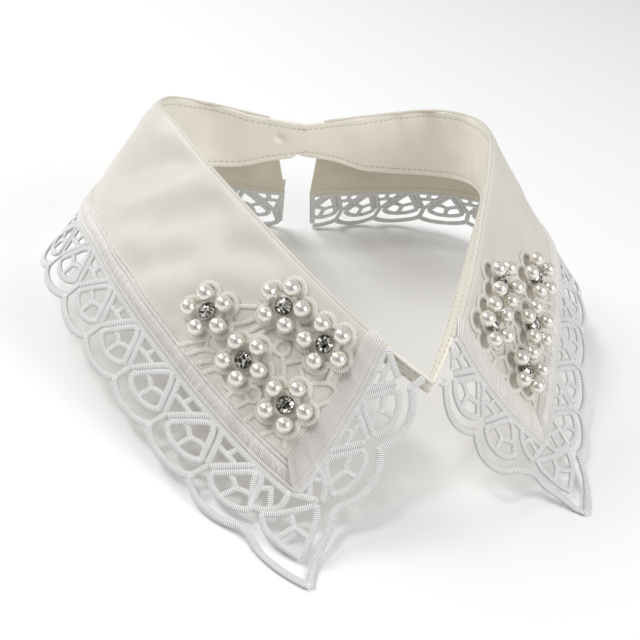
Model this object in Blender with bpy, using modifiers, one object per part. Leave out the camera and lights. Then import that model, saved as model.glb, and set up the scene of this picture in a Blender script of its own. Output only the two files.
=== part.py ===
"""A detachable collar of cream satin that stands on its lace edging, fastened at the centre back.

Units are metres, +Z is up, the centre front faces -Y and the collar rests on z = 0. Every piece is drafted on
a straight grid: "along" runs along the fold line from the centre front to the centre back, and "down" runs
from the fold down the leaf. leaf_surface() hangs the grid on the standing collar, where it fans out downward.
"""

import math

import bmesh
import bpy
import numpy as np
from mathutils import Vector

MM = 0.001
SIDES = {"left": -1, "right": 1}

# Thickness of each layer, and the gap between pieces that are sewn together
CLOTH = 1.2 * MM
LACE = 1.5 * MM
BORDER = 0.9 * MM
LATTICE = 0.9 * MM
GAP = 0.3 * MM

# How flat pieces are cut: the radius of the fan that the draft is spread to, the spacing of the lines where a
# piece bends, and the short step over which a surface's slope is measured
FAN = 110.0 * MM
SCORE = 8.0 * MM
LACE_SCORE = 40.0 * MM
NUDGE = 0.4 * MM

# Draft of one satin leaf, and how it rolls over the stand
HALF_NECK = 194.0 * MM
FRONT_AT_FOLD = 15.2 * MM
POINT = np.array([18.0, 55.5]) * MM
BACK_AT_FOLD = {"left": 184.0 * MM, "right": 182.0 * MM}
BACK_ALONG = {"left": 189.0 * MM, "right": 182.0 * MM}
BACK_DOWN = 44.0 * MM
EDGE_BULGE = 2.5 * MM
ROLL = 1.8 * MM
BOW_REACH = 43.0 * MM
HANG_STEPS = 40
LEAF_ROWS = (0.0, 0.027, 0.06, 0.15, 0.35, 0.56, 0.78, 1.0)
LEAF_COLUMNS = 38

# The fold line and the hang of the cloth at stations along each half. Along and height are in mm. Heading
# is the fold's direction in plan, in degrees from straight back. Flare is the leaf's angle from plumb, skew
# turns the way it falls away from square to the fold, and bow is how much it curls outward on the way down.
COLUMNS = ("along", "heading", "height", "flare", "skew", "bow")
FOLD = {
    "left": (
        (0, 61, 3, 45, -29, 26),
        (39, 35, 29, 40, -24, 7),
        (78, 26, 53, 38, -15, 2),
        (97, 18, 63, 39, -6, 4),
        (117, 10, 71, 39, 2, 5),
        (136, -37, 73, 39, 4, 6),
        (156, -86, 69, 38, 3, 5),
        (175, -101, 64, 36, 0, 3),
        (194, -94, 60, 35, -3, 1),
    ),
    "right": (
        (0, 53, 3, 44, -29, 26),
        (39, 37, 27, 39, -24, 7),
        (78, 33, 52, 35, -15, 2),
        (97, 23, 60, 34, -6, 4),
        (117, 6, 62, 33, 2, 5),
        (136, -50, 63, 33, 4, 6),
        (156, -90, 62, 33, 3, 5),
        (175, -92, 61, 33, 0, 3),
        (194, -90, 60, 33, -3, 1),
    ),
}

# The stand: its height in mm and its lean in degrees, lower edge outward, at stations along the half. Each
# tab goes past the centre back, the left one inside the right one.
STAND = (
    (0, 6, -34),
    (20, 11, -28),
    (50, 17, -17),
    (97, 23, -3),
    (136, 27, 5),
    (165, 23, 9),
    (180, 17, 10),
    (194, 13, 11),
    (209, 10, 11),
)
STAND_COLUMNS = 92
STAND_ROWS = 2
STAND_TOP = CLOTH / 2 + GAP + 0.45 * MM
FRONT_TURN = 14.0 * MM
OTHER = {"left": "right", "right": "left"}
TAB_REACH = {"left": 3.0 * MM, "right": 15.0 * MM}
TAB_INSIDE = {"left": CLOTH + GAP, "right": 0.0}
TAB_START = HALF_NECK - 16.0 * MM
TAB_BLEND = 26.0 * MM

# How the worn collar is laid down on the table, with the middle of its box over the origin
REST_PITCH = math.radians(16.8)
REST_ROLL = math.radians(-2.5)
REST_HEIGHT = 39.7 * MM
REST_MIDDLE = (-0.15 * MM, 63.66 * MM)

# Lace edging: how many repeats, their pitch and the depth from the satin to the notches
OUTER_PITCH = 20.3 * MM
OUTER_DEPTH = (18.8 * MM, 20.5 * MM)
OUTER_START = 8.8 * MM
FRONT_PITCH = 23.2 * MM
FRONT_DEPTH = (11.0 * MM, 9.5 * MM)
FRONT_START = 1.0 * MM
LACE_TIP = np.array([4.4, 79.0]) * MM
END_CORD = 1.4 * MM

# Shares of a repeat: how far a scallop stands past its notches, how much the sides of the lace at the point
# bulge, and the least width of a hole. Points in each repeat of the lace's own edge along the satin
SCALLOP = 0.22
SCALLOP_POINTS = 6
TIP_BULGE = 0.10
LEAST_HOLE = 0.08
INNER_POINTS = 2.5

# Borders of satin stitch: their widths, their distance in from the satin's edge, over its face and down from
# the fold, the points along each edge, and how far from the corner the outer edge's first point is
OUTER_BORDER = 6.5 * MM
FRONT_BORDER = 5.2 * MM
EDGE_INSET = 0.6 * MM
BORDER_GAP = 0.45 * MM
BORDER_START = 2.5 * MM
OUTER_POINTS = 32
FRONT_POINTS = 6
CORNER_CLEAR = 2.0 * MM

# Beaded flowers: place of each centre along and down, in mm, and the turn of its first pearl in degrees
FLOWER_COLUMNS = ("along", "down", "turn")
FLOWERS = (
    (61.1, 33.3, 33),
    (43.3, 13.7, 71),
    (44.9, 35.2, 48),
    (29.1, 13.2, 30),
    (29.8, 35.9, 58),
)
PEARLS = 5
PEARL = 2.75 * MM
PEARL_RING = 6.15 * MM
STONE = 3.0 * MM
STONE_HEIGHT = 3.2 * MM
STONE_FALL = 0.3
GROUND = 0.7 * MM
FLOWER_HEM = 0.15 * MM
LOBE_ANGLES = (-36.0, -24.0, -10.0, 10.0, 24.0)
STONE_RINGS = (0.45, 0.97, 1.04)
PEARL_RINGS = (0.04, 0.28, 0.64, 0.93)

# The button at the back: its place on the left half, and its section from the axis out and back, in mm
BUTTON_ALONG = 188.0 * MM
BUTTON_DOWN = 8.0 * MM
BUTTON_SIDES = 16
BUTTON_PROFILE = (
    ((0.0, 1.4), (2.2, 1.4), (2.8, 1.9), (3.5, 1.9))
    + ((4.0, 1.3), (4.0, 0.5), (3.4, 0.0), (0.0, 0.0))
)

SHARP_ANGLE = math.radians(40)

# Finishes, by the names of the shader's sockets
SATIN = {"Base Color": (0.80, 0.76, 0.68, 1.0), "Roughness": 0.42, "Metallic": 0.0}
STITCH = {"Base Color": (0.84, 0.81, 0.76, 1.0), "Roughness": 0.6, "Metallic": 0.0}
THREAD = {"Base Color": (0.88, 0.88, 0.87, 1.0), "Roughness": 0.7, "Metallic": 0.0}
PEARL_GLOSS = {"Base Color": (0.90, 0.86, 0.78, 1.0), "Roughness": 0.25, "Metallic": 0.0}


def smooth(stations, values, at):
    """Values on a smooth curve through a table's stations that never overshoots them."""
    x = np.asarray(stations, float)
    y = np.asarray(values, float)
    at = np.clip(at, x[0], x[-1])
    gap = np.diff(x)
    rise = np.diff(y) / gap
    before = 2 * gap[1:] + gap[:-1]
    after = gap[1:] + 2 * gap[:-1]
    turning = rise[:-1] * rise[1:] <= 0
    safe = np.where(turning, 1.0, rise[:-1])
    safe_next = np.where(turning, 1.0, rise[1:])
    inner = (before + after) / (before / safe + after / safe_next)
    slope = np.concatenate([[rise[0]], np.where(turning, 0.0, inner), [rise[-1]]])
    cell = np.clip(np.searchsorted(x, at, side="right") - 1, 0, len(gap) - 1)
    t = (at - x[cell]) / gap[cell]
    rest = 1 - t
    ends = y[cell] * (1 + 2 * t) * rest**2 + y[cell + 1] * (3 - 2 * t) * t**2
    leans = slope[cell] * t * rest**2 - slope[cell + 1] * t**2 * rest
    return ends + gap[cell] * leans


def column(side, name, along):
    """A column of the fold table at distances along the half, in the table's own units."""
    rows = np.array(FOLD[side], float).T
    return smooth(rows[0], rows[COLUMNS.index(name)], np.asarray(along) / MM)


def draft_fold(side):
    """The fold line in plan, every half millimetre, by adding up its heading."""
    along = np.arange(0, HALF_NECK + 0.5 * MM, 0.5 * MM)
    heading = np.radians(column(side, "heading", along))
    step = np.diff(along, prepend=0.0)
    x = np.cumsum(np.sin(heading) * step)
    y = np.cumsum(np.cos(heading) * step)
    return along, x, y


FOLD_LINES = {side: draft_fold(side) for side in SIDES}


def fold_point(side, along):
    """Where the fold is, drafted as worn on the +X side, with the way that faces outward from it."""
    table, x, y = FOLD_LINES[side]
    first = math.radians(float(column(side, "heading", 0.0)))
    past = np.minimum(along, 0.0)
    back_end = FOLD_LINES["left"][2][np.searchsorted(table, HALF_NECK)]
    own_end = y[np.searchsorted(table, HALF_NECK)]
    share = np.clip(along / HALF_NECK, 0, 1) ** 2
    px = np.interp(along, table, x) + past * math.sin(first)
    py = np.interp(along, table, y) + past * math.cos(first) + share * (back_end - own_end)
    close = -np.interp(HALF_NECK, table, x)
    px = px + close * share
    heights = column(side, "height", along) * MM
    climb = (FOLD[side][1][2] - FOLD[side][0][2]) / FOLD[side][1][0]
    outward = np.radians(column(side, "heading", along) + 90)
    return np.stack([px, py, heights + past * climb], -1), outward


def lay_down(points, side):
    """Mirrors a half to its own side and lays the worn collar down on the table."""
    x = points[..., 0] * SIDES[side]
    y = points[..., 1]
    z = points[..., 2]
    y, z = (
        y * math.cos(REST_PITCH) + z * math.sin(REST_PITCH),
        z * math.cos(REST_PITCH) - y * math.sin(REST_PITCH),
    )
    x, z = (
        x * math.cos(REST_ROLL) + z * math.sin(REST_ROLL),
        z * math.cos(REST_ROLL) - x * math.sin(REST_ROLL),
    )
    return np.stack([x - REST_MIDDLE[0], y - REST_MIDDLE[1], z + REST_HEIGHT], -1)


def leaf_surface(side, along, down):
    """Middle of the leaf's cloth. From the fold it rolls over the stand, then falls at its flare and bow."""
    along = np.asarray(along, float)
    down = np.asarray(down, float)
    start, outward = fold_point(side, along)
    outward = outward + np.radians(column(side, "skew", along))
    flare = np.radians(column(side, "flare", along))[..., None]
    bow = np.radians(column(side, "bow", along))[..., None]
    share = (np.arange(HANG_STEPS) + 0.5) / HANG_STEPS
    reached = down[..., None] * share**2
    weight = 2 * share / HANG_STEPS
    hang = flare + bow * (reached / BOW_REACH - 1)
    hang = hang + (math.pi / 2 - hang) * np.exp(-((reached / ROLL) ** 2))
    out = (np.sin(hang) * weight).sum(-1) * down - CLOTH / 2
    drop = (np.cos(hang) * weight).sum(-1) * down
    points = start + np.stack([out * np.sin(outward), out * np.cos(outward), -drop], -1)
    return lay_down(points, side)


def lace_surface(side, along, down):
    """Middle of the lace: the leaf's surface carried on, and flat on the table where it would go below it."""
    points = leaf_surface(side, along, down)
    points[..., 2] = np.maximum(points[..., 2], LACE / 2)
    return points


def band(side, along, down, inside):
    """A half's stand, hung from its fold and moved inside. At the centre front it faces forward."""
    start, outward = fold_point(side, along)
    turn = np.clip(1 - along / FRONT_TURN, 0, 1) ** 2
    outward = outward + (math.pi - outward) * turn
    rows = np.array(STAND, float).T
    lean = np.radians(smooth(rows[0], rows[2], along / MM))
    out = down * np.sin(lean) - inside
    drop = down * np.cos(lean)
    points = start + np.stack([out * np.sin(outward), out * np.cos(outward), -drop], -1)
    return lay_down(points, side)


def stand_surface(side, along, down):
    """Middle of the stand's cloth. Past the centre back a tab follows the other half on its own side."""
    blend = np.clip((along - TAB_START + TAB_BLEND) / TAB_BLEND, 0, 1)
    inside = TAB_INSIDE[side] * blend * blend * (3 - 2 * blend)
    own = band(side, np.minimum(along, HALF_NECK), down, inside)
    tab = band(OTHER[side], np.minimum(2 * HALF_NECK - along, HALF_NECK), down, inside)
    return np.where((along > HALF_NECK)[..., None], tab, own)


def lifted(surface, side, along, down, lift):
    """Points of a surface moved out along its normal by lift."""
    middle = surface(side, along, down)
    across = surface(side, along + NUDGE, down) - surface(side, along - NUDGE, down)
    downward = surface(side, along, down + NUDGE) - surface(side, along, down - NUDGE)
    normal = np.cross(downward, across) * SIDES[side]
    normal = normal / np.linalg.norm(normal, axis=-1, keepdims=True)
    return middle + normal * np.asarray(lift)[..., None]


def true_spread(side, along, down, x, y):
    """Where points x and y metres from a place on the leaf lie in the draft, which fans out toward its edge.

    x runs the way the fold runs there, and y square to it, down the leaf.
    """
    ahead = leaf_surface(side, along + NUDGE, down) - leaf_surface(side, along - NUDGE, down)
    below = leaf_surface(side, along, down + NUDGE) - leaf_surface(side, along, down - NUDGE)
    ahead = ahead / (2 * NUDGE)
    below = below / (2 * NUDGE)
    stretch = np.linalg.norm(ahead)
    slant = below @ ahead / stretch
    square = np.linalg.norm(below - slant * ahead / stretch)
    return along + (x - y * slant / square) / stretch, down + y / square


def dress(name, mesh, finish):
    """A new object of the collar with its own material."""
    material = bpy.data.materials.new(name)
    material.use_nodes = True
    shader = material.node_tree.nodes["Principled BSDF"]
    for socket, value in finish.items():
        shader.inputs[socket].default_value = value
    mesh.materials.append(material)
    piece = bpy.data.objects.new(name, mesh)
    bpy.data.collections["detachable_collar"].objects.link(piece)
    mesh.shade_smooth()
    mesh.set_sharp_from_angle(angle=SHARP_ANGLE)
    return piece


def face_outward(mesh):
    """Recalculates a closed mesh's normals so that they point out."""
    edit = bmesh.new()
    edit.from_mesh(mesh)
    bmesh.ops.remove_doubles(edit, verts=edit.verts, dist=0.001 * MM)
    bmesh.ops.recalc_face_normals(edit, faces=edit.faces)
    edit.to_mesh(mesh)
    edit.free()


def sheet(name, columns, rows, surface_at):
    """A grid of cloth, bent to surface_at(u, v), before it gets its thickness."""
    edit = bmesh.new()
    bmesh.ops.create_grid(edit, x_segments=columns, y_segments=rows, size=0.5)
    flat = np.array([vertex.co for vertex in edit.verts])
    bent = surface_at(flat[:, 0] + 0.5, flat[:, 1] + 0.5)
    for vertex, place in zip(edit.verts, bent):
        vertex.co = place
    mesh = bpy.data.meshes.new(name)
    edit.to_mesh(mesh)
    edit.free()
    return mesh


def thicken(piece, thickness):
    """Gives a sheet of cloth its thickness, half to each side."""
    solidify = piece.modifiers.new("cloth", "SOLIDIFY")
    solidify.thickness = thickness
    solidify.offset = 0.0
    solidify.use_even_offset = True


def fan(draft):
    """Draft points as the cloth is cut: spread round the neck like a fan, so that edges keep their curve."""
    draft = np.asarray(draft, float)
    turn = draft[:, 0] / FAN
    reach = FAN + draft[:, 1]
    return np.stack([reach * np.sin(turn), reach * np.cos(turn)], 1)


def unfan(cut):
    """Draft points, along and down, from points of the fan."""
    turn = np.arctan2(cut[:, 0], cut[:, 1])
    return turn * FAN, np.hypot(cut[:, 0], cut[:, 1]) - FAN


def score(mesh, spacing):
    """Cuts a flat mesh along evenly spaced lines both ways, so that it can bend there."""
    edit = bmesh.new()
    edit.from_mesh(mesh)
    bmesh.ops.remove_doubles(edit, verts=edit.verts, dist=0.001 * MM)
    inner = [edge for edge in edit.edges if all(abs(face.normal.z) > 0.5 for face in edge.link_faces)]
    bmesh.ops.dissolve_limit(edit, angle_limit=math.radians(1), edges=inner)
    flat = np.array([vertex.co for vertex in edit.verts])
    for axis in (0, 1):
        way = Vector((1 - axis, axis, 0))
        for place in np.arange(flat[:, axis].min() + spacing / 2, flat[:, axis].max(), spacing):
            everything = edit.verts[:] + edit.edges[:] + edit.faces[:]
            bmesh.ops.bisect_plane(edit, geom=everything, plane_co=way * place, plane_no=way)
    bmesh.ops.triangulate(edit, faces=edit.faces, quad_method="BEAUTY", ngon_method="BEAUTY")
    edit.to_mesh(mesh)
    edit.free()


def cut_flat(name, outline, holes, surface, side, lift, thickness, spacing):
    """An outline with holes, cut flat as a 2D curve that is filled and extruded, then laid on a surface.

    Its points are in metres, along and down. lift is from the surface to the middle of the piece.
    """
    curve = bpy.data.curves.new(name, "CURVE")
    curve.dimensions = "2D"
    curve.fill_mode = "BOTH"
    curve.extrude = thickness / 2
    for loop in [outline, *holes]:
        spline = curve.splines.new("POLY")
        spline.points.add(len(loop) - 1)
        for point, (x, y) in zip(spline.points, fan(loop)):
            point.co = (x, y, 0.0, 1.0)
        spline.use_cyclic_u = True
    drawn = bpy.data.objects.new(name, curve)
    bpy.context.scene.collection.objects.link(drawn)
    graph = bpy.context.evaluated_depsgraph_get()
    mesh = bpy.data.meshes.new_from_object(drawn.evaluated_get(graph))
    mesh.name = name
    bpy.data.objects.remove(drawn)
    score(mesh, spacing)
    flat = np.array([vertex.co for vertex in mesh.vertices])
    bent = lifted(surface, side, *unfan(flat), lift + flat[:, 2])
    mesh.vertices.foreach_set("co", bent.astype(np.float32).ravel())
    face_outward(mesh)
    return mesh


def outer_edge(side, share):
    """Draft points of the satin's outer edge, a shallow curve from the leaf's point to its back corner."""
    share = np.asarray(share, float)[..., None]
    end = np.array([BACK_ALONG[side], BACK_DOWN])
    return POINT + share * (end - POINT) + np.array([0.0, EDGE_BULGE]) * 4 * share * (1 - share)


def measure_edge(side):
    """True lengths along the hung outer edge from the leaf's point, and the share of the draft each is at."""
    share = np.linspace(0, 1, 400)
    edge = outer_edge(side, share)
    hung = leaf_surface(side, edge[:, 0], edge[:, 1])
    steps = np.linalg.norm(np.diff(hung, axis=0), axis=1)
    return np.concatenate([[0.0], np.cumsum(steps)]), share


EDGE_LENGTHS = {side: measure_edge(side) for side in SIDES}


def even_shares(side, portions):
    """Shares of the draft edge that lie at even portions of its true length, so columns follow the bends."""
    lengths, shares = EDGE_LENGTHS[side]
    return np.interp(np.asarray(portions) * lengths[-1], lengths, shares)


def make_leaf(side):
    """One satin fall: rows close together at the fold, where the cloth rolls over."""

    def at(u, v):
        share = np.interp(v, np.linspace(0, 1, len(LEAF_ROWS)), LEAF_ROWS)
        column_share = even_shares(side, u)
        top = FRONT_AT_FOLD + column_share * (BACK_AT_FOLD[side] - FRONT_AT_FOLD)
        bottom = outer_edge(side, column_share)
        along = top + share * (bottom[:, 0] - top)
        return leaf_surface(side, along, share * bottom[:, 1])

    mesh = sheet("leaf_" + side, LEAF_COLUMNS, len(LEAF_ROWS) - 1, at)
    piece = dress("leaf_" + side, mesh, SATIN)
    thicken(piece, CLOTH)
    return piece


def make_stand():
    """The neck band, one strip from the left tab round the front to the right tab."""
    heights = np.array(STAND, float).T
    first = -(HALF_NECK + TAB_REACH["left"])
    last = HALF_NECK + TAB_REACH["right"]

    def at(u, v):
        signed = first + u * (last - first)
        along = np.abs(signed)
        height = smooth(heights[0], heights[1], along / MM) * MM
        down = STAND_TOP + v * height
        left = stand_surface("left", along, down)
        right = stand_surface("right", along, down)
        return np.where((signed < 0)[:, None], left, right)

    mesh = sheet("stand", STAND_COLUMNS, STAND_ROWS, at)
    piece = dress("stand", mesh, SATIN)
    thicken(piece, CLOTH)
    return piece


def arc(start, end, bulge, steps):
    """Points of a shallow arc from start to end, bulging to its right by a share of its length."""
    start = np.asarray(start, float)
    end = np.asarray(end, float)
    t = np.linspace(0, 1, steps)[:, None]
    chord = end - start
    right = np.array([chord[1], -chord[0]])
    return start + chord * t + right * bulge * 4 * t * (1 - t)


# Holes of one lace repeat. Across is from the middle of the small leaf motif, in pitches, and out is from the
# satin (0) to the notch (1). The tooth's holes are about its own middle, which is at the notch.
MOTIF_HOLES = (
    ((0.0, 0.14), (0.095, 0.37), (0.0, 0.48), (-0.095, 0.37)),
    ((0.04, 0.57), (0.13, 0.50), (0.23, 0.70), (0.04, 0.89)),
    ((-0.04, 0.57), (-0.13, 0.50), (-0.23, 0.70), (-0.04, 0.89)),
)
TOOTH_HOLES = (
    ((0.035, 0.11), (0.20, 0.11), (0.17, 0.40), (0.035, 0.44)),
    ((-0.035, 0.11), (-0.20, 0.11), (-0.17, 0.40), (-0.035, 0.44)),
    ((-0.13, 0.52), (0.13, 0.52), (0.08, 0.76), (-0.08, 0.76)),
)
CRESCENT_HALF = 0.35
CRESCENT_FOOT = 0.88
CRESCENT_INNER = 0.11
CRESCENT_OUTER = 0.25


def crescent():
    """The long thin hole between the small leaf motif and the outer scallop."""
    across = np.linspace(-1, 1, 5)
    outer = np.stack([across * CRESCENT_HALF, CRESCENT_FOOT + CRESCENT_OUTER * (1 - across**2) ** 0.75], 1)
    across = np.linspace(1, -1, 5)[1:-1]
    inner = np.stack([across * CRESCENT_HALF, CRESCENT_FOOT + CRESCENT_INNER * (1 - across**2)], 1)
    return np.concatenate([outer, inner])


def scallop_reach(across):
    """How far out a scallop's line is at a place across it, from notch (-0.5) to notch (0.5)."""
    return 1 + SCALLOP * (1 - 4 * across**2) ** 0.7


def scallop(last):
    """The outer line of one repeat, from notch to notch or as far as last, without its end point."""
    across = np.linspace(-0.5, last, SCALLOP_POINTS)[:-1]
    return np.stack([across, scallop_reach(across)], 1)


class Edge:
    """An edge of the satin that lace hangs from, with repeats at an even true pitch along it.

    at(distance) gives draft points of the edge at true distances along it. The lace hangs out from there, and
    its depth changes evenly from the first repeat to the last. It may end part of the way through a repeat.
    """

    def __init__(self, at, first, length, out, depths, pitch):
        self.at = at
        self.first = first
        self.out = out / np.linalg.norm(out)
        self.depths = depths
        self.pitch = pitch
        self.repeats = length / pitch

    def place(self, shape, middle, lift=0.0):
        """A shape in pitches and depths, moved to a place along the edge in pitches, and out by lift."""
        shape = np.asarray(shape, float)
        steps = shape[:, 0] + middle
        share = np.clip(steps / self.repeats, 0, 1)
        depth = self.depths[0] + (self.depths[1] - self.depths[0]) * share
        out = (shape[:, 1] * depth + lift)[:, None]
        return self.at(self.first + steps * self.pitch) + out * self.out

    def place_hole(self, shape, middle):
        """A convex hole cut short at the cord that ends the lace, or nothing where little is left."""
        shape = np.array(shape, float)
        last = self.repeats - middle - END_CORD / self.pitch
        shape[:, 0] = np.minimum(shape[:, 0], last)
        wide_enough = np.ptp(shape[:, 0]) > LEAST_HOLE
        return [self.place(shape, middle)] if wide_enough else []

    def outer_line(self):
        """The scalloped outer line of the lace, from its start to its end."""
        lines = []
        for k in range(math.ceil(self.repeats - 0.01)):
            last = min(0.5, self.repeats - k - 0.5)
            lines.append(self.place(scallop(last), k + 0.5))
        lines.append(self.place([(last, scallop_reach(last))], k + 0.5))
        return np.concatenate(lines)

    def inner_line(self):
        """The lace's own edge along the satin, with a few points in each repeat, a gap clear of it."""
        steps = np.linspace(0, self.repeats, round(self.repeats * INNER_POINTS) + 1)
        return self.place(np.stack([steps, 0 * steps], 1), 0.0, GAP)


def tip_frame():
    """The axes of the lace at the leaf's point: toward its tip, and square to that toward the back."""
    toward = LACE_TIP - POINT
    length = np.linalg.norm(toward)
    toward = toward / length
    return toward, np.array([toward[1], -toward[0]]), length


# Holes of the pointed motif at the leaf's point, across and out from the satin point, in shares of its length
TIP_HOLES = (
    ((0.0, 0.15), (0.065, 0.29), (0.045, 0.37), (-0.045, 0.37), (-0.065, 0.29)),
    ((0.025, 0.45), (0.10, 0.41), (0.19, 0.52), (0.14, 0.64), (0.025, 0.74)),
    ((-0.025, 0.45), (-0.10, 0.41), (-0.19, 0.52), (-0.14, 0.64), (-0.025, 0.74)),
)
TIP_CHEVRON = (
    ((-0.25, 0.56), (-0.21, 0.68), (-0.13, 0.80), (0.0, 0.91), (0.13, 0.80), (0.21, 0.68), (0.25, 0.56))
    + ((0.20, 0.60), (0.14, 0.71), (0.0, 0.83), (-0.14, 0.71), (-0.20, 0.60))
)


def lace_edges(side):
    """The front edge and the outer edge of a leaf, as lengths of lace."""
    fold_front = np.array([FRONT_AT_FOLD, 0.0])
    down_front = (POINT - fold_front) / np.linalg.norm(POINT - fold_front)

    def front_at(distance):
        return fold_front + distance[..., None] * down_front

    def outer_at(distance):
        return outer_edge(side, even_shares(side, distance / EDGE_LENGTHS[side][0][-1]))

    out = np.array([-down_front[1], down_front[0]])
    front = Edge(front_at, FRONT_START, 2 * FRONT_PITCH, out, FRONT_DEPTH, FRONT_PITCH)
    ahead = outer_edge(side, 1.0) - POINT
    out = np.array([-ahead[1], ahead[0]])
    length = EDGE_LENGTHS[side][0][-1] - OUTER_START
    outer = Edge(outer_at, OUTER_START, length, out, OUTER_DEPTH, OUTER_PITCH)
    return front, outer


def lace_pattern(side):
    """Outline and holes of one side's edging, from the front of the fold round the point to the back."""
    front, outer = lace_edges(side)
    holes = []
    for run in (front, outer):
        for k in range(math.ceil(run.repeats - 0.01)):
            for hole in MOTIF_HOLES:
                holes += run.place_hole(hole, k + 0.5)
            if k + 0.5 + CRESCENT_HALF < run.repeats - END_CORD / run.pitch:
                holes.append(run.place(crescent(), k + 0.5))
    teeth = [(front, 1), (front, 2)] + [(outer, k) for k in range(math.ceil(outer.repeats))]
    for run, k in teeth:
        for hole in TOOTH_HOLES:
            holes += [run.place(hole, k)] if run is front else run.place_hole(hole, k)
    toward, across, length = tip_frame()
    for hole in (*TIP_HOLES, TIP_CHEVRON):
        hole = np.asarray(hole) * length
        holes.append(POINT + hole[:, :1] * across + hole[:, 1:] * toward)

    front_line = front.outer_line()
    outer_line = outer.outer_line()
    outline = [
        front_line,
        arc(front_line[-1], LACE_TIP, -TIP_BULGE, 5)[1:],
        arc(LACE_TIP, outer_line[0], -TIP_BULGE, 5)[1:-1],
        outer_line,
        outer.inner_line()[::-1],
        [POINT + (outer.out + front.out) * GAP],
        front.inner_line()[::-1],
    ]
    return np.concatenate(outline), holes


def make_lace(side):
    """One side's guipure edging, cut right through between its cords."""
    outline, holes = lace_pattern(side)
    mesh = cut_flat("lace_" + side, outline, holes, lace_surface, side, 0.0, LACE, LACE_SCORE)
    return dress("lace_" + side, mesh, THREAD)


def make_border(side):
    """The band of satin stitch over the leaf's front and outer edges."""
    edge = outer_edge(side, even_shares(side, np.linspace(0, 1, OUTER_POINTS)))
    outer_line = edge - np.array([0.0, EDGE_INSET])
    inner_line = edge - np.array([0.0, OUTER_BORDER])
    fold_front = np.array([FRONT_AT_FOLD, 0.0])
    ahead = (POINT - fold_front) / np.linalg.norm(POINT - fold_front)
    inward = np.array([ahead[1], -ahead[0]])
    start = fold_front + ahead * BORDER_START
    corner_outer = POINT + inward * EDGE_INSET - np.array([0.0, EDGE_INSET])
    corner_inner = POINT + inward * FRONT_BORDER - np.array([0.0, OUTER_BORDER])
    outer_line = outer_line[outer_line[:, 0] > corner_outer[0] + CORNER_CLEAR]
    inner_line = inner_line[inner_line[:, 0] > corner_inner[0] + CORNER_CLEAR]
    down_front = arc(start + inward * EDGE_INSET, corner_outer, 0.0, FRONT_POINTS + 2)
    up_front = arc(corner_inner, start + inward * FRONT_BORDER, 0.0, FRONT_POINTS + 2)
    outline = np.concatenate([down_front, outer_line, inner_line[::-1], up_front])
    lift = CLOTH / 2 + BORDER_GAP + BORDER / 2
    mesh = cut_flat("border_" + side, outline, [], leaf_surface, side, lift, BORDER, SCORE)
    return dress("border_" + side, mesh, STITCH)


# The lattice under the beads, in mm along and down: its outline, and the holes that show satin
LATTICE_OUTLINE = (
    ((21.4, 7.0), (27.0, 3.6), (33.0, 4.0), (36.4, 7.5), (39.0, 4.0), (46.0, 3.4), (51.0, 8.0), (52.0, 16.0))
    + ((54.0, 23.6), (60.0, 22.6), (67.0, 26.0), (69.6, 33.0), (67.0, 41.0), (60.0, 44.0), (53.0, 42.8))
    + ((46.0, 45.8), (38.0, 44.6), (30.0, 46.6), (23.7, 44.0), (23.0, 31.0), (22.2, 19.0))
)
HOLE_COLUMNS = ("along", "down", "radius", "sides")
LATTICE_HOLES = (
    (50.3, 24.0, 2.2, 5),
    (38.5, 22.6, 1.4, 6),
    (37.2, 28.4, 2.2, 5),
    (33.2, 24.6, 2.2, 6),
    (25.6, 24.6, 2.4, 6),
    (37.8, 41.2, 1.4, 6),
    (53.2, 37.2, 1.4, 5),
)


def make_lattice(side):
    """The embroidered ground under the beads, with its largest gaps open to the satin."""
    outline = np.array(LATTICE_OUTLINE) * MM
    holes = []
    for row in LATTICE_HOLES:
        spot = dict(zip(HOLE_COLUMNS, row))
        angle = np.arange(spot["sides"]) * 2 * math.pi / spot["sides"]
        ring = np.stack([np.cos(angle), np.sin(angle)]) * spot["radius"] * MM
        holes.append(np.stack(true_spread(side, spot["along"] * MM, spot["down"] * MM, *ring), 1))
    lift = CLOTH / 2 + GAP + LATTICE / 2
    mesh = cut_flat("applique_" + side, outline, holes, leaf_surface, side, lift, LATTICE, SCORE)
    return dress("applique_" + side, mesh, STITCH)


def flower_height(x, y, turn):
    """Height of a flower over its ground: five pearls as domes round the stone."""
    height = np.full(x.shape, GROUND)
    from_middle = np.hypot(x, y)
    height = np.where(from_middle < STONE, STONE_HEIGHT - STONE_FALL * from_middle, height)
    for k in range(PEARLS):
        angle = turn + k * 2 * math.pi / PEARLS
        away = np.hypot(x - PEARL_RING * math.cos(angle), y - PEARL_RING * math.sin(angle))
        dome = GROUND + PEARL + np.sqrt(np.maximum(PEARL**2 - away**2, 0))
        height = np.where(away < PEARL, np.maximum(height, dome), height)
    return height


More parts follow.
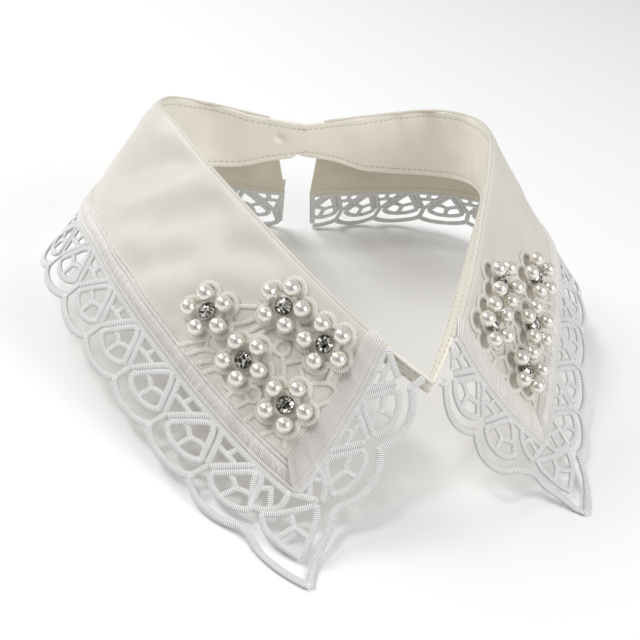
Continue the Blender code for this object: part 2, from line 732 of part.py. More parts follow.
def make_flower(side, number, row):
    """One beaded flower: a lobed disc whose upper face rises over the stone and the five pearls."""
    spot = dict(zip(FLOWER_COLUMNS, row))
    turn = math.radians(spot["turn"])
    lobe = np.radians(LOBE_ANGLES)
    angle = np.concatenate([turn + k * 2 * math.pi / PEARLS + lobe for k in range(PEARLS)])
    off_pearl = np.tile(lobe, PEARLS)
    chord = np.maximum(PEARL**2 - (PEARL_RING * np.sin(off_pearl)) ** 2, 0)
    reach = np.maximum(PEARL_RING * np.cos(off_pearl) + np.sqrt(chord), PEARL_RING) + FLOWER_HEM
    near = np.minimum(PEARL_RING * np.cos(off_pearl) - np.sqrt(chord), PEARL_RING - PEARL / 2)
    sides = len(angle)
    rings = [np.full(sides, share * STONE) for share in STONE_RINGS]
    rings += [near + share * (reach - FLOWER_HEM - near) for share in PEARL_RINGS]
    rings.append(reach)
    radius = np.stack(rings)
    x = radius * np.cos(angle)
    y = radius * np.sin(angle)
    rise = flower_height(x, y, turn)
    base = CLOTH / 2 + GAP + LATTICE + GAP
    centre = (spot["along"] * MM, spot["down"] * MM)
    along, down = true_spread(side, *centre, x, y)
    upper = lifted(leaf_surface, side, along, down, base + rise)
    lower = lifted(leaf_surface, side, along[-1], down[-1], np.full(sides, base))
    middle_along = np.full(2, centre[0])
    middle_down = np.full(2, centre[1])
    ends = lifted(leaf_surface, side, middle_along, middle_down, np.array([base + STONE_HEIGHT, base]))

    edit = bmesh.new()
    loops = [[edit.verts.new(p) for p in ring] for ring in (*upper, lower)]
    top = edit.verts.new(ends[0])
    bottom = edit.verts.new(ends[1])
    for inner, outer in zip(loops, loops[1:]):
        for k in range(sides):
            edit.faces.new((inner[k], outer[k], outer[k - 1], inner[k - 1]))
    for k in range(sides):
        edit.faces.new((top, loops[0][k], loops[0][k - 1]))
        edit.faces.new((bottom, loops[-1][k - 1], loops[-1][k]))
    bmesh.ops.recalc_face_normals(edit, faces=edit.faces)
    name = f"flower_{side}_{number}"
    mesh = bpy.data.meshes.new(name)
    edit.to_mesh(mesh)
    edit.free()
    return dress(name, mesh, PEARL_GLOSS)


def make_button():
    """The small button that holds the right tab over the left one, a turned disc against the outer tab."""
    profile = bpy.data.meshes.new("back_button")
    edit = bmesh.new()
    points = [edit.verts.new((r * MM, 0.0, z * MM)) for r, z in BUTTON_PROFILE]
    for start, end in zip(points, points[1:]):
        edit.edges.new((start, end))
    edit.to_mesh(profile)
    edit.free()
    button = dress("back_button", profile, PEARL_GLOSS)
    turned = button.modifiers.new("turned", "SCREW")
    turned.steps = BUTTON_SIDES
    turned.render_steps = BUTTON_SIDES
    turned.use_merge_vertices = True
    turned.merge_threshold = 0.01 * MM
    along = np.array([2 * HALF_NECK - BUTTON_ALONG] * 2)
    seat, above = lifted(stand_surface, "right", along, np.full(2, BUTTON_DOWN), np.array([0.0, 1.0]))
    lift = CLOTH / 2 + GAP
    button.location = seat + (above - seat) * lift
    button.rotation_euler = Vector(above - seat).to_track_quat("Z", "Y").to_euler()
    return button


def main():
    """Clears the scene and makes the collar, piece by piece."""
    for old in list(bpy.data.objects):
        bpy.data.objects.remove(old)
    collar = bpy.data.collections.new("detachable_collar")
    bpy.context.scene.collection.children.link(collar)
    make_stand()
    make_button()
    for side in SIDES:
        make_leaf(side)
        make_border(side)
        make_lattice(side)
        make_lace(side)
        for number, row in enumerate(FLOWERS, 1):
            make_flower(side, number, row)


main()
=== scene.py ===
"""Looks of a detachable satin collar with beaded guipure lace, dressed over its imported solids.

Units are metres, +Z is up, the centre front faces -Y and the collar stands on z = 0. Every piece is drafted
on a straight grid: "along" runs along the fold from the centre front to the centre back, and "down" runs from
the fold down the leaf. CollarForm hangs that draft on the standing collar.
"""

import logging
import math
from collections.abc import Callable, Sequence
from dataclasses import dataclass, field
from enum import Enum

import bpy
import numpy as np
from mathutils import Matrix, Vector


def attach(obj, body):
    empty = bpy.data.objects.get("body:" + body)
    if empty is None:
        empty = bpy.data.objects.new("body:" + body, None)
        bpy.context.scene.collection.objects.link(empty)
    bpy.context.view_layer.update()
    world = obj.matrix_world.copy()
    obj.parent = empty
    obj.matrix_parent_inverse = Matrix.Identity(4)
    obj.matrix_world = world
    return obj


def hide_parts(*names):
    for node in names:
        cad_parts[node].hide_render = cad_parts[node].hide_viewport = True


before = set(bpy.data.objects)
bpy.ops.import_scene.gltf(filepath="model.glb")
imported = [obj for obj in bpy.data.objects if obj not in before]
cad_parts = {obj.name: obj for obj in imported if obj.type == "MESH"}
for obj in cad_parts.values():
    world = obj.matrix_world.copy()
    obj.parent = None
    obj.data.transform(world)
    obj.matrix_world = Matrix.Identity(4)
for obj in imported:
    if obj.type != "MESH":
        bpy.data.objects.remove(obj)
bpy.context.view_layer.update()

Array = np.ndarray
Rows = tuple[tuple[float, ...], ...]
Hang = Callable[["Side", Array, Array], Array]

MM = 0.001
BODY = "root"
# How far UVs run from one stitch to the next, whatever the stitch's own size
STITCH_UV = 0.6 * MM
# How far UVs run round a cord, from its right flank over its top
CORD_UV = 4.8 * MM
# Points nearer than this are one
SAME_PLACE = 1e-7
log = logging.getLogger("collar")


class Side(Enum):
    """The two halves of the collar."""

    LEFT = "left"
    RIGHT = "right"

    @property
    def sign(self) -> int:
        """-1 on the left half and 1 on the right, the way it faces along X."""
        return -1 if self is Side.LEFT else 1

    @property
    def other(self) -> "Side":
        """The half across the centre."""
        return Side.RIGHT if self is Side.LEFT else Side.LEFT

    def dice(self, seed: int) -> np.random.Generator:
        """Random numbers for a kind of piece: its seed on the left half, and the next one on the right."""
        return np.random.default_rng(seed + (self is Side.RIGHT))


class Slot(Enum):
    """Material slots of the record."""

    SATIN = "satin"
    STITCH = "stitch"
    LACE = "lace"
    PEARL = "pearl"
    BUTTON = "button"


def smooth(stations: Array, values: Array, at: Array) -> Array:
    """Reads a table by a cubic through its stations that never overshoots them.

    Each station's slope is the harmonic mean of the rises beside it, and 0 where they change sign.

    Args:
        stations: where the values stand, in rising order.
        values: one value for each station.
        at: where to read.

    Returns:
        The values there, and the end values past the ends.
    """
    x = np.asarray(stations, float)
    y = np.asarray(values, float)
    at = np.clip(at, x[0], x[-1])
    gap = np.diff(x)
    rise = np.diff(y) / gap
    before = 2 * gap[1:] + gap[:-1]
    after = gap[1:] + 2 * gap[:-1]
    turning = rise[:-1] * rise[1:] <= 0
    safe = np.where(turning, 1.0, rise[:-1])
    safe_next = np.where(turning, 1.0, rise[1:])
    inner = (before + after) / (before / safe + after / safe_next)
    slope = np.concatenate([[rise[0]], np.where(turning, 0.0, inner), [rise[-1]]])
    cell = np.clip(np.searchsorted(x, at, side="right") - 1, 0, len(gap) - 1)
    t = (at - x[cell]) / gap[cell]
    rest = 1 - t
    ends = y[cell] * (1 + 2 * t) * rest**2 + y[cell + 1] * (3 - 2 * t) * t**2
    leans = slope[cell] * t * rest**2 - slope[cell + 1] * t**2 * rest
    return ends + gap[cell] * leans


def unit(vectors: Array) -> Array:
    """The vectors divided by their lengths."""
    return vectors / np.maximum(np.linalg.norm(vectors, axis=-1, keepdims=True), 1e-12)


def ease(x: Array) -> Array:
    """3x^2 - 2x^3 between 0 and 1, level at both ends."""
    x = np.clip(x, 0, 1)
    return x * x * (3 - 2 * x)


def rounded(points: Sequence[Sequence[float]], steps: int = 6, closed: bool = False) -> Array:
    """A smooth line through flat points: a uniform Catmull-Rom curve, its ends carried straight on.

    Args:
        points: the points it goes through.
        steps: how many places are read between two points.
        closed: whether it comes back to its first point.

    Returns:
        The line's points, the last one equal to the first where it is closed.
    """
    p = np.asarray(points, float)
    if closed:
        p = np.concatenate([p[-1:], p, p[:2]])
    else:
        p = np.concatenate([2 * p[:1] - p[1:2], p, 2 * p[-1:] - p[-2:-1]])
    t = (np.arange(steps) / steps)[None, :, None]
    a, b, c, d = (p[k : len(p) - 3 + k, None, :] for k in range(4))
    line = 0.5 * (2 * b + (c - a) * t + (2 * a - 5 * b + 4 * c - d) * t**2 + (3 * b - a - 3 * c + d) * t**3)
    return np.concatenate([line.reshape(-1, p.shape[1]), p[-2][None]])


def reached(line: Array) -> Array:
    """How far along a line each of its points is, from the lengths of its steps added up."""
    return np.concatenate([[0.0], np.cumsum(np.linalg.norm(np.diff(line, axis=0), axis=1))])


def read(line: Array, reach: Array, at: Array) -> Array:
    """The points of a line at distances along it, straight between its own points."""
    return np.stack([np.interp(at, reach, column) for column in line.T], -1)


@dataclass(frozen=True)
class CollarForm:
    """The hung form of the collar: its draft sizes, and the surfaces that they hang on."""

    cloth: float = 1.2 * MM
    lace: float = 1.5 * MM
    half_neck: float = 194.0 * MM
    front_at_fold: float = 15.2 * MM
    point: tuple[float, float] = (18.0 * MM, 55.5 * MM)
    back_at_fold: tuple[float, float] = (180.0 * MM, 186.0 * MM)
    back_along: tuple[float, float] = (191.0 * MM, 182.0 * MM)
    back_down: float = 44.0 * MM
    edge_bulge: float = 2.5 * MM
    roll: float = 1.8 * MM
    bow_reach: float = 43.0 * MM
    hang_steps: int = 40
    nudge: float = 0.4 * MM
    front_turn: float = 14.0 * MM
    tab_reach: tuple[float, float] = (3.0 * MM, 15.0 * MM)
    tab_inside: tuple[float, float] = (1.5 * MM, 0.0)
    tab_start: float = 178.0 * MM
    tab_blend: float = 26.0 * MM
    rest_pitch: float = math.radians(16.8)
    rest_roll: float = math.radians(-2.5)
    rest_height: float = 39.7 * MM
    rest_middle: tuple[float, float] = (-0.15 * MM, 63.66 * MM)
    # The fold at stations along each half: along and height in mm, the rest in degrees. Heading is the fold's
    # direction in plan from straight back, flare the leaf's angle from plumb, skew turns the way it falls
    # away from square to the fold, and bow is how much it curls outward on the way down
    columns: tuple[str, ...] = ("along", "heading", "height", "flare", "skew", "bow")
    fold_left: Rows = (
        (0, 61, 3, 45, -29, 26),
        (39, 35, 29, 40, -24, 7),
        (78, 26, 53, 38, -15, 2),
        (97, 18, 63, 39, -6, 4),
        (117, 10, 71, 39, 2, 5),
        (136, -37, 73, 39, 4, 6),
        (156, -86, 69, 38, 3, 5),
        (175, -101, 64, 36, 0, 3),
        (194, -94, 60, 35, -3, 1),
    )
    fold_right: Rows = (
        (0, 53, 3, 44, -29, 26),
        (39, 37, 27, 39, -24, 7),
        (78, 33, 52, 35, -15, 2),
        (97, 23, 60, 34, -6, 4),
        (117, 6, 62, 33, 2, 5),
        (136, -50, 63, 33, 4, 6),
        (156, -90, 62, 33, 3, 5),
        (175, -92, 61, 33, 0, 3),
        (194, -90, 60, 33, -3, 1),
    )
    # The stand at stations along the half: its height in mm and its lean in degrees, lower edge outward
    stand_rows: Rows = (
        (0, 6, -34),
        (20, 11, -28),
        (50, 17, -17),
        (97, 23, -3),
        (136, 27, 5),
        (165, 23, 9),
        (180, 17, 10),
        (194, 13, 11),
        (209, 10, 11),
    )

    @staticmethod
    def of(pair: tuple[float, float], side: Side) -> float:
        """A size's value on one side, from its left and right values."""
        return pair[0] if side is Side.LEFT else pair[1]

    def fold_rows(self, side: Side) -> Rows:
        """The fold table of one half."""
        return self.fold_left if side is Side.LEFT else self.fold_right

    def column(self, side: Side, name: str, along: Array) -> Array:
        """One column of the fold table, read at distances along the half, in the table's own units."""
        rows = np.array(self.fold_rows(side), float).T
        return smooth(rows[0], rows[self.columns.index(name)], np.asarray(along) / MM)

    def plan(self, side: Side) -> tuple[Array, Array, Array]:
        """The fold in plan, every half millimetre: its heading's sines and cosines added up."""
        along = np.arange(0, self.half_neck + 0.5 * MM, 0.5 * MM)
        heading = np.radians(self.column(side, "heading", along))
        step = np.diff(along, prepend=0.0)
        return along, np.cumsum(np.sin(heading) * step), np.cumsum(np.cos(heading) * step)

    def fold_point(self, side: Side, along: Array) -> tuple[Array, Array]:
        """The fold, drafted as worn on the +X side, with the halves drawn together at the centre back.

        Args:
            side: the half.
            along: distances along it.

        Returns:
            The fold's points, and the plan angle that faces outward from it.
        """
        table, x, y = self.plan(side)
        first = math.radians(float(self.column(side, "heading", 0.0)))
        past = np.minimum(along, 0.0)
        last = np.searchsorted(table, self.half_neck)
        back_end = self.plan(Side.LEFT)[2][last]
        share = np.clip(along / self.half_neck, 0, 1) ** 2
        px = np.interp(along, table, x) + past * math.sin(first)
        py = np.interp(along, table, y) + past * math.cos(first) + share * (back_end - y[last])
        px = px - np.interp(self.half_neck, table, x) * share
        heights = self.column(side, "height", along) * MM
        rows = self.fold_rows(side)
        climb = (rows[1][2] - rows[0][2]) / rows[1][0]
        outward = np.radians(self.column(side, "heading", along) + 90)
        return np.stack([px, py, heights + past * climb], -1), outward

    def lay_down(self, points: Array, side: Side) -> Array:
        """Mirrors a half to its own side, then pitches and rolls the worn collar down on the table."""
        x = points[..., 0] * side.sign
        y = points[..., 1]
        z = points[..., 2]
        y, z = (
            y * math.cos(self.rest_pitch) + z * math.sin(self.rest_pitch),
            z * math.cos(self.rest_pitch) - y * math.sin(self.rest_pitch),
        )
        x, z = (
            x * math.cos(self.rest_roll) + z * math.sin(self.rest_roll),
            z * math.cos(self.rest_roll) - x * math.sin(self.rest_roll),
        )
        return np.stack([x - self.rest_middle[0], y - self.rest_middle[1], z + self.rest_height], -1)

    def leaf(self, side: Side, along: Array, down: Array) -> Array:
        """Middle of the leaf's cloth: from the fold it rolls over the stand, then falls at its flare and bow.

        The angle from plumb starts level at the fold and dies away to the flare as a bell curve of the
        distance down; its sines and cosines are added up, close together near the fold.
        """
        along = np.asarray(along, float)
        down = np.asarray(down, float)
        start, outward = self.fold_point(side, along)
        outward = outward + np.radians(self.column(side, "skew", along))
        flare = np.radians(self.column(side, "flare", along))[..., None]
        bow = np.radians(self.column(side, "bow", along))[..., None]
        share = (np.arange(self.hang_steps) + 0.5) / self.hang_steps
        reached = down[..., None] * share**2
        weight = 2 * share / self.hang_steps
        hang = flare + bow * (reached / self.bow_reach - 1)
        hang = hang + (math.pi / 2 - hang) * np.exp(-((reached / self.roll) ** 2))
        out = (np.sin(hang) * weight).sum(-1) * down - self.cloth / 2
        drop = (np.cos(hang) * weight).sum(-1) * down
        points = start + np.stack([out * np.sin(outward), out * np.cos(outward), -drop], -1)
        return self.lay_down(points, side)

    def edging(self, side: Side, along: Array, down: Array) -> Array:
        """Middle of the lace: the leaf's surface carried on, and kept from going below the table."""
        points = self.leaf(side, along, down)
        points[..., 2] = np.maximum(points[..., 2], self.lace / 2)
        return points

    def band(self, side: Side, along: Array, down: Array, inside: Array) -> Array:
        """One half's stand, hung straight from its fold and moved inside. At the centre front it faces -Y."""
        start, outward = self.fold_point(side, along)
        turn = np.clip(1 - along / self.front_turn, 0, 1) ** 2
        outward = outward + (math.pi - outward) * turn
        rows = np.array(self.stand_rows, float).T
        lean = np.radians(smooth(rows[0], rows[2], along / MM))
        out = down * np.sin(lean) - inside
        drop = down * np.cos(lean)
        points = start + np.stack([out * np.sin(outward), out * np.cos(outward), -drop], -1)
        return self.lay_down(points, side)

    def stand(self, side: Side, along: Array, down: Array) -> Array:
        """Middle of the stand's cloth. Past the centre back a tab follows the other half on its own side."""
        started = ease((along - self.tab_start + self.tab_blend) / self.tab_blend)
        inside = self.of(self.tab_inside, side) * started
        own = self.band(side, np.minimum(along, self.half_neck), down, inside)
        back = np.minimum(2 * self.half_neck - along, self.half_neck)
        tab = self.band(side.other, back, down, inside)
        return np.where((along > self.half_neck)[..., None], tab, own)

    def stand_height(self, along: Array) -> Array:
        """How tall the stand is at distances along the half."""
        rows = np.array(self.stand_rows, float).T
        return smooth(rows[0], rows[1], along / MM) * MM

    def normal(self, hang: Hang, side: Side, along: Array, down: Array) -> Array:
        """Unit normals that face out of a hung surface: its downward step crossed with its step along."""
        across = hang(side, along + self.nudge, down) - hang(side, along - self.nudge, down)
        downward = hang(side, along, down + self.nudge) - hang(side, along, down - self.nudge)
        return unit(np.cross(downward, across) * side.sign)

    def lifted(self, hang: Hang, side: Side, along: Array, down: Array, lift: Array) -> Array:
        """Points of a hung surface moved out along its normal by lift."""
        out = self.normal(hang, side, along, down)
        return hang(side, along, down) + out * np.asarray(lift)[..., None]

    def spread(self, side: Side, along: float, down: float, x: Array, y: Array) -> Array:
        """Draft points x and y true metres from a place on the leaf, which fans out toward its edge.

        Args:
            side: the half.
            along: the place's distance along.
            down: the place's distance down.
            x: metres the way the fold runs there.
            y: metres square to that, down the leaf.

        Returns:
            Draft points, along and down.
        """
        one = np.array([along]), np.array([down])
        step = self.nudge
        ahead = self.leaf(side, one[0] + step, one[1]) - self.leaf(side, one[0] - step, one[1])
        below = self.leaf(side, one[0], one[1] + step) - self.leaf(side, one[0], one[1] - step)
        ahead = ahead[0] / (2 * step)
        below = below[0] / (2 * step)
        stretch = np.linalg.norm(ahead)
        slant = below @ ahead / stretch
        square = np.linalg.norm(below - slant * ahead / stretch)
        return np.stack([along + (x - y * slant / square) / stretch, down + y / square], -1)

    def outer_edge(self, side: Side, share: Array) -> Array:
        """The satin's outer edge in the draft: a chord from its point to its back corner, plus a bulge."""
        share = np.asarray(share, float)[..., None]
        point = np.array(self.point)
        end = np.array([self.of(self.back_along, side), self.back_down])
        return point + share * (end - point) + np.array([0.0, self.edge_bulge]) * 4 * share * (1 - share)

    def edge_lengths(self, side: Side) -> tuple[Array, Array]:
        """True lengths along the hung outer edge from the leaf's point, and the draft share each is at."""
        share = np.linspace(0, 1, 400)
        edge = self.outer_edge(side, share)
        hung = self.leaf(side, edge[:, 0], edge[:, 1])
        return reached(hung), share

    def edge_length(self, side: Side) -> float:
        """True length of the satin's outer edge."""
        return float(self.edge_lengths(side)[0][-1])

    def edge_at(self, side: Side, distance: Array) -> Array:
        """Draft points of the outer edge at true distances from the leaf's point."""
        lengths, shares = self.edge_lengths(side)
        return self.outer_edge(side, np.interp(distance, lengths, shares))

    def front_axes(self) -> tuple[Array, Array, Array]:
        """The draft's front edge: its start at the fold, the way down it, and the way into the satin."""
        start = np.array([self.front_at_fold, 0.0])
        ahead = unit(np.array(self.point) - start)
        return start, ahead, np.array([ahead[1], -ahead[0]])


FORM = CollarForm()

# How many times deeper than their tables the creases are pressed, and how far from the fold the leaf's reach
# that depth
LEAF_CREASE = 2.7
STAND_CREASE = 1.6
CREASE_CLEAR = 9.0 * MM
# Creases of the satin: from one draft place to another, how wide and how high each stands, in mm (troughs are
# negative). The stand's "along" is negative on the left half
CREASE_COLUMNS = ("from_along", "from_down", "to_along", "to_down", "width", "height")
LEAF_CREASES = {
    Side.LEFT: (
        (116, 27, 94, 3, 6.5, -0.75),
        (108, 32, 88, 5, 5.0, 0.50),
        (91, 29, 78, 8, 5.0, -0.55),
        (65, 14, 54, 2, 4.5, -0.50),
        (101, 43, 84, 24, 5.0, 0.40),
        (90, 44, 77, 28, 4.5, -0.40),
        (80, 40, 65, 20, 5.5, 0.40),
        (131, 8, 112, 5, 5.0, 0.40),
        (138, 42, 127, 17, 5.5, 0.45),
        (152, 35, 142, 6, 6.0, -0.60),
        (164, 30, 158, 9, 5.0, 0.40),
        (177, 37, 171, 8, 5.5, -0.50),
    ),
    Side.RIGHT: (
        (57, 8, 74, 24, 4.5, -0.50),
        (75, 7, 78, 31, 6.0, 0.45),
        (88, 12, 90, 35, 5.0, 0.35),
        (99, 16, 98, 39, 6.0, -0.60),
        (117, 5, 111, 31, 5.5, 0.50),
        (129, 9, 123, 36, 5.0, -0.50),
        (148, 36, 141, 7, 6.5, -0.55),
        (160, 8, 157, 33, 5.0, 0.40),
        (173, 31, 168, 5, 4.5, -0.45),
    ),
}
STAND_CREASES = (
    (141, 3, 141, 11, 6.0, 0.9),
    (155, 2, 150, 17, 3.0, 0.6),
    (137, 0, 130, 16, 3.5, -0.6),
    (120, 4, 112, 20, 4.5, -0.5),
    (98, 2, 92, 18, 4.5, 0.45),
    (70, 2, 66, 15, 3.5, 0.35),
    (172, 3, 168, 16, 4.5, -0.45),
    (-157, 5, -157, 16, 5.5, 0.8),
    (-147, 2, -144, 16, 4.0, -0.5),
    (-132, 2, -127, 20, 4.5, 0.5),
    (-112, 4, -108, 18, 4.0, -0.45),
    (-88, 2, -84, 17, 4.5, 0.4),
    (-60, 2, -57, 13, 3.5, -0.3),
    (-172, 3, -170, 15, 4.0, -0.45),
    (-184, 7.2, -184.2, 7.6, 1.5, 0.9),
)


def creased(rows: Rows, along: Array, down: Array) -> Array:
    """How far creases move the cloth: each is a bell curve across its line that fades past its ends.

    Args:
        rows: the creases, with the named columns.
        along: draft distances.
        down: draft distances.

    Returns:
        The lift in metres.
    """
    total = np.zeros(np.broadcast(along, down).shape)
    for row in rows:
        crease = dict(zip(CREASE_COLUMNS, row))
        start = np.array([crease["from_along"], crease["from_down"]]) * MM
        run = np.array([crease["to_along"], crease["to_down"]]) * MM - start
        length = np.linalg.norm(run)
        way = run / length
        x = (along - start[0]) * way[0] + (down - start[1]) * way[1]
        y = (along - start[0]) * way[1] - (down - start[1]) * way[0]
        past = np.maximum(np.abs(x - length / 2) - length / 2, 0)
        width = crease["width"] * MM
        total = total + crease["height"] * MM * np.exp(-((y / width) ** 2) - (past / width) ** 2)
    return total


def satin_leaf(side: Side, along: Array, down: Array) -> Array:
    """The leaf's surface with its creases, which everything sewn on the satin follows."""
    along = np.asarray(along, float)
    down = np.asarray(down, float)
    lift = creased(LEAF_CREASES[side], along, down) * LEAF_CREASE * ease(down / CREASE_CLEAR)
    return FORM.lifted(FORM.leaf, side, along, down, lift)


@dataclass
class Piece:
    """The mesh of one piece while it is worked out."""

    name: str
    points: list[Array] = field(default_factory=list)
    faces: list[Array] = field(default_factory=list)
    corners: list[Array] = field(default_factory=list)
    finishes: list[Array] = field(default_factory=list)
    tones: list[Array] = field(default_factory=list)
    smooths: list[Array] = field(default_factory=list)
    count: int = 0

    def add(
        self,
        points: Array,
        faces: Sequence[Array],
        corners: Sequence[Array],
        finish: int | Array = 0,
        flat: bool = False,
        tones: Array | None = None,
    ) -> None:
        """Adds closed surfaces, turned so that their volume is positive and their faces point out.

        The volume is a sixth of the sum, over fans of each face, of one corner dotted with the cross product
        of the next two.

        Args:
            points: the corners, in metres.
            faces: arrays of faces, one for each number of sides.
            corners: UVs in metres for every corner of those faces.
            finish: number of the material that they take, or one for each face.
            flat: whether they are shaded flat.
            tones: a value for each face, the painted reflection brightness of stone facets.
        """
        middle = points.mean(0)
        volume = 0.0
        for group in faces:
            fan = points[group] - middle
            for k in range(1, group.shape[1] - 1):
                volume += np.einsum("ij,ij->", fan[:, 0], np.cross(fan[:, k], fan[:, k + 1]))
        total = 0
        for group, uv in zip(faces, corners):
            turned = slice(None, None, -1 if volume < 0 else 1)
            self.faces.append(group[:, turned] + self.count)
            self.corners.append(uv[:, turned])
            numbers = finish[total : total + len(group)] if isinstance(finish, Array) else finish
            self.finishes.append(np.full(len(group), numbers))
            self.smooths.append(np.full(len(group), not flat))
            # Each face's painted reflection value, 0 where none is given
            shade = np.zeros(len(group)) if tones is None else tones[total : total + len(group)]
            self.tones.append(shade)
            total += len(group)
        self.points.append(points)
        self.count += len(points)

    def build(self, materials: Sequence[bpy.types.Material]) -> bpy.types.Object:
        """Puts the arrays into a mesh and gives it its materials."""
        points = np.concatenate(self.points)
        sides = np.concatenate([np.full(len(group), group.shape[1]) for group in self.faces])
        loops = np.concatenate([group.ravel() for group in self.faces])
        mesh = bpy.data.meshes.new(self.name)
        mesh.vertices.add(len(points))
        mesh.vertices.foreach_set("co", points.astype(np.float32).ravel())
        mesh.loops.add(len(loops))
        mesh.loops.foreach_set("vertex_index", loops.astype(np.int32))
        mesh.polygons.add(len(sides))
        starts = np.concatenate([[0], np.cumsum(sides)[:-1]])
        mesh.polygons.foreach_set("loop_start", starts.astype(np.int32))
        mesh.polygons.foreach_set("material_index", np.concatenate(self.finishes).astype(np.int32))
        mesh.polygons.foreach_set("use_smooth", np.concatenate(self.smooths))
        mesh.update(calc_edges=True)
        layer = mesh.uv_layers.new(name="weave")
        corners = np.concatenate([group.reshape(-1, 2) for group in self.corners])
        layer.uv.foreach_set("vector", corners.astype(np.float32).ravel())
        # The face attribute tone carries the stones' painted facet reflections
        tone = mesh.attributes.new("tone", "FLOAT", "FACE")
        tone.data.foreach_set("value", np.concatenate(self.tones).astype(np.float32))
        for material in materials:
            mesh.materials.append(material)
        built = bpy.data.objects.new(self.name, mesh)
        bpy.context.scene.collection.objects.link(built)
        return built


def grid_quads(rows: int, columns: int) -> Array:
    """Faces between the points of a grid that is stored row by row."""
    index = np.arange(rows * columns).reshape(rows, columns)
    return np.stack([index[:-1, :-1], index[1:, :-1], index[1:, 1:], index[:-1, 1:]], -1).reshape(-1, 4)


def ring_faces(rings: int, sides: int) -> tuple[Array, Array]:
    """Faces of a closed tube: its rings are stored one after another, and then the poles of both its ends.

    Args:
        rings: how many rings it has.
        sides: how many points a ring has.

    Returns:
        The four-sided faces between rings, and the three-sided ones round the poles.
    """
    j = np.arange(sides)
    k = (j + 1) % sides
    row = np.arange(rings - 1)[:, None] * sides
    quads = np.stack([row + j, row + sides + j, row + sides + k, row + k], -1).reshape(-1, 4)
    pole = np.full(sides, rings * sides)
    last = (rings - 1) * sides
    return quads, np.concatenate([np.stack([pole, j, k], -1), np.stack([pole + 1, last + k, last + j], -1)])


def add_cloth(piece: Piece, middle: Array, half: Array, uv: Array, sides: tuple[int, int] = (0, 0)) -> None:
    """Adds cloth as a closed wall: a grid moved out and in along its normals, joined where half is 0.

    Args:
        piece: the piece that it is part of.
        middle: grid of points in the middle of the cloth, rows x columns x 3.
        half: half the thickness at each point, 0 all round the rim.
        uv: grid of UVs in metres.
        sides: numbers of the materials of its two faces, the first on the side of rows crossed with columns.
    """
    rows, columns = half.shape
    normal = unit(np.cross(np.gradient(middle, axis=0), np.gradient(middle, axis=1)))
    outer = (middle + normal * half[..., None]).reshape(-1, 3)
    inner = (middle - normal * half[..., None]).reshape(-1, 3)
    inside = (half > 0).ravel()
    number = np.arange(rows * columns)
    number[inside] = rows * columns + np.arange(inside.sum())
    front = grid_quads(rows, columns)
    flat_uv = uv.reshape(-1, 2)
    points = np.concatenate([outer, inner[inside]])
    back = number[front][:, ::-1]
    finish = np.repeat(sides, len(front))
    piece.add(points, [front, back], [flat_uv[front], flat_uv[front][:, ::-1]], finish)


@dataclass(frozen=True)
class Lathe:
    """A turned form: points of its section, radius and height, from one pole to the other."""

    section: Rows
    sides: int

    def add(
        self,
        piece: Piece,
        origin: Array,
        axes: Array,
        finish: int = 0,
        scale: float = 1.0,
    ) -> None:
        """Turns the section round the third axis. Both ends have to be on it, and each is one closed pole.

        Args:
            piece: the piece that it is part of.
            origin: where the section's height 0 stands.
            axes: three rows, the last one the axis that it is turned round.
            finish: number of its material.
            scale: what the section's numbers are multiplied by.
        """
        section = np.asarray(self.section, float) * scale
        angle = np.arange(self.sides) * 2 * math.pi / self.sides
        inner = section[1:-1]
        ring = np.stack([np.cos(angle), np.sin(angle)], -1)
        heights = np.broadcast_to(inner[:, None, 1:], (len(inner), self.sides, 1))
        local = np.concatenate([inner[:, None, :1] * ring, heights], -1).reshape(-1, 3)
        poles = np.array([[0, 0, section[0, 1]], [0, 0, section[-1, 1]]])
        points = origin + np.concatenate([local, poles]) @ axes
        faces = ring_faces(len(inner), self.sides)
        flat = points @ np.array(axes)[:2].T
        piece.add(points, faces, [flat[group] for group in faces], finish)


def ball_section(steps: int = 14) -> Rows:
    """The half circle of radius 1 that turns into a ball."""
    angle = np.linspace(0, math.pi, steps + 1)
    radius = np.sin(angle)
    radius[-1] = 0.0
    return tuple(zip(radius.tolist(), np.cos(angle).tolist()))


@dataclass(frozen=True)
class CordSize:
    """A stitched cord: its width over the cloth, its height, its stitches' pitch, and how deep they cut.

    Uneven is how much its girth changes from ring to ring, and cap how far its ends stand out, in heights.
    """

    width: float
    height: float
    pitch: float
    depth: float
    sides: int = 8
    uneven: float = 0.03
    cap: float = 0.3


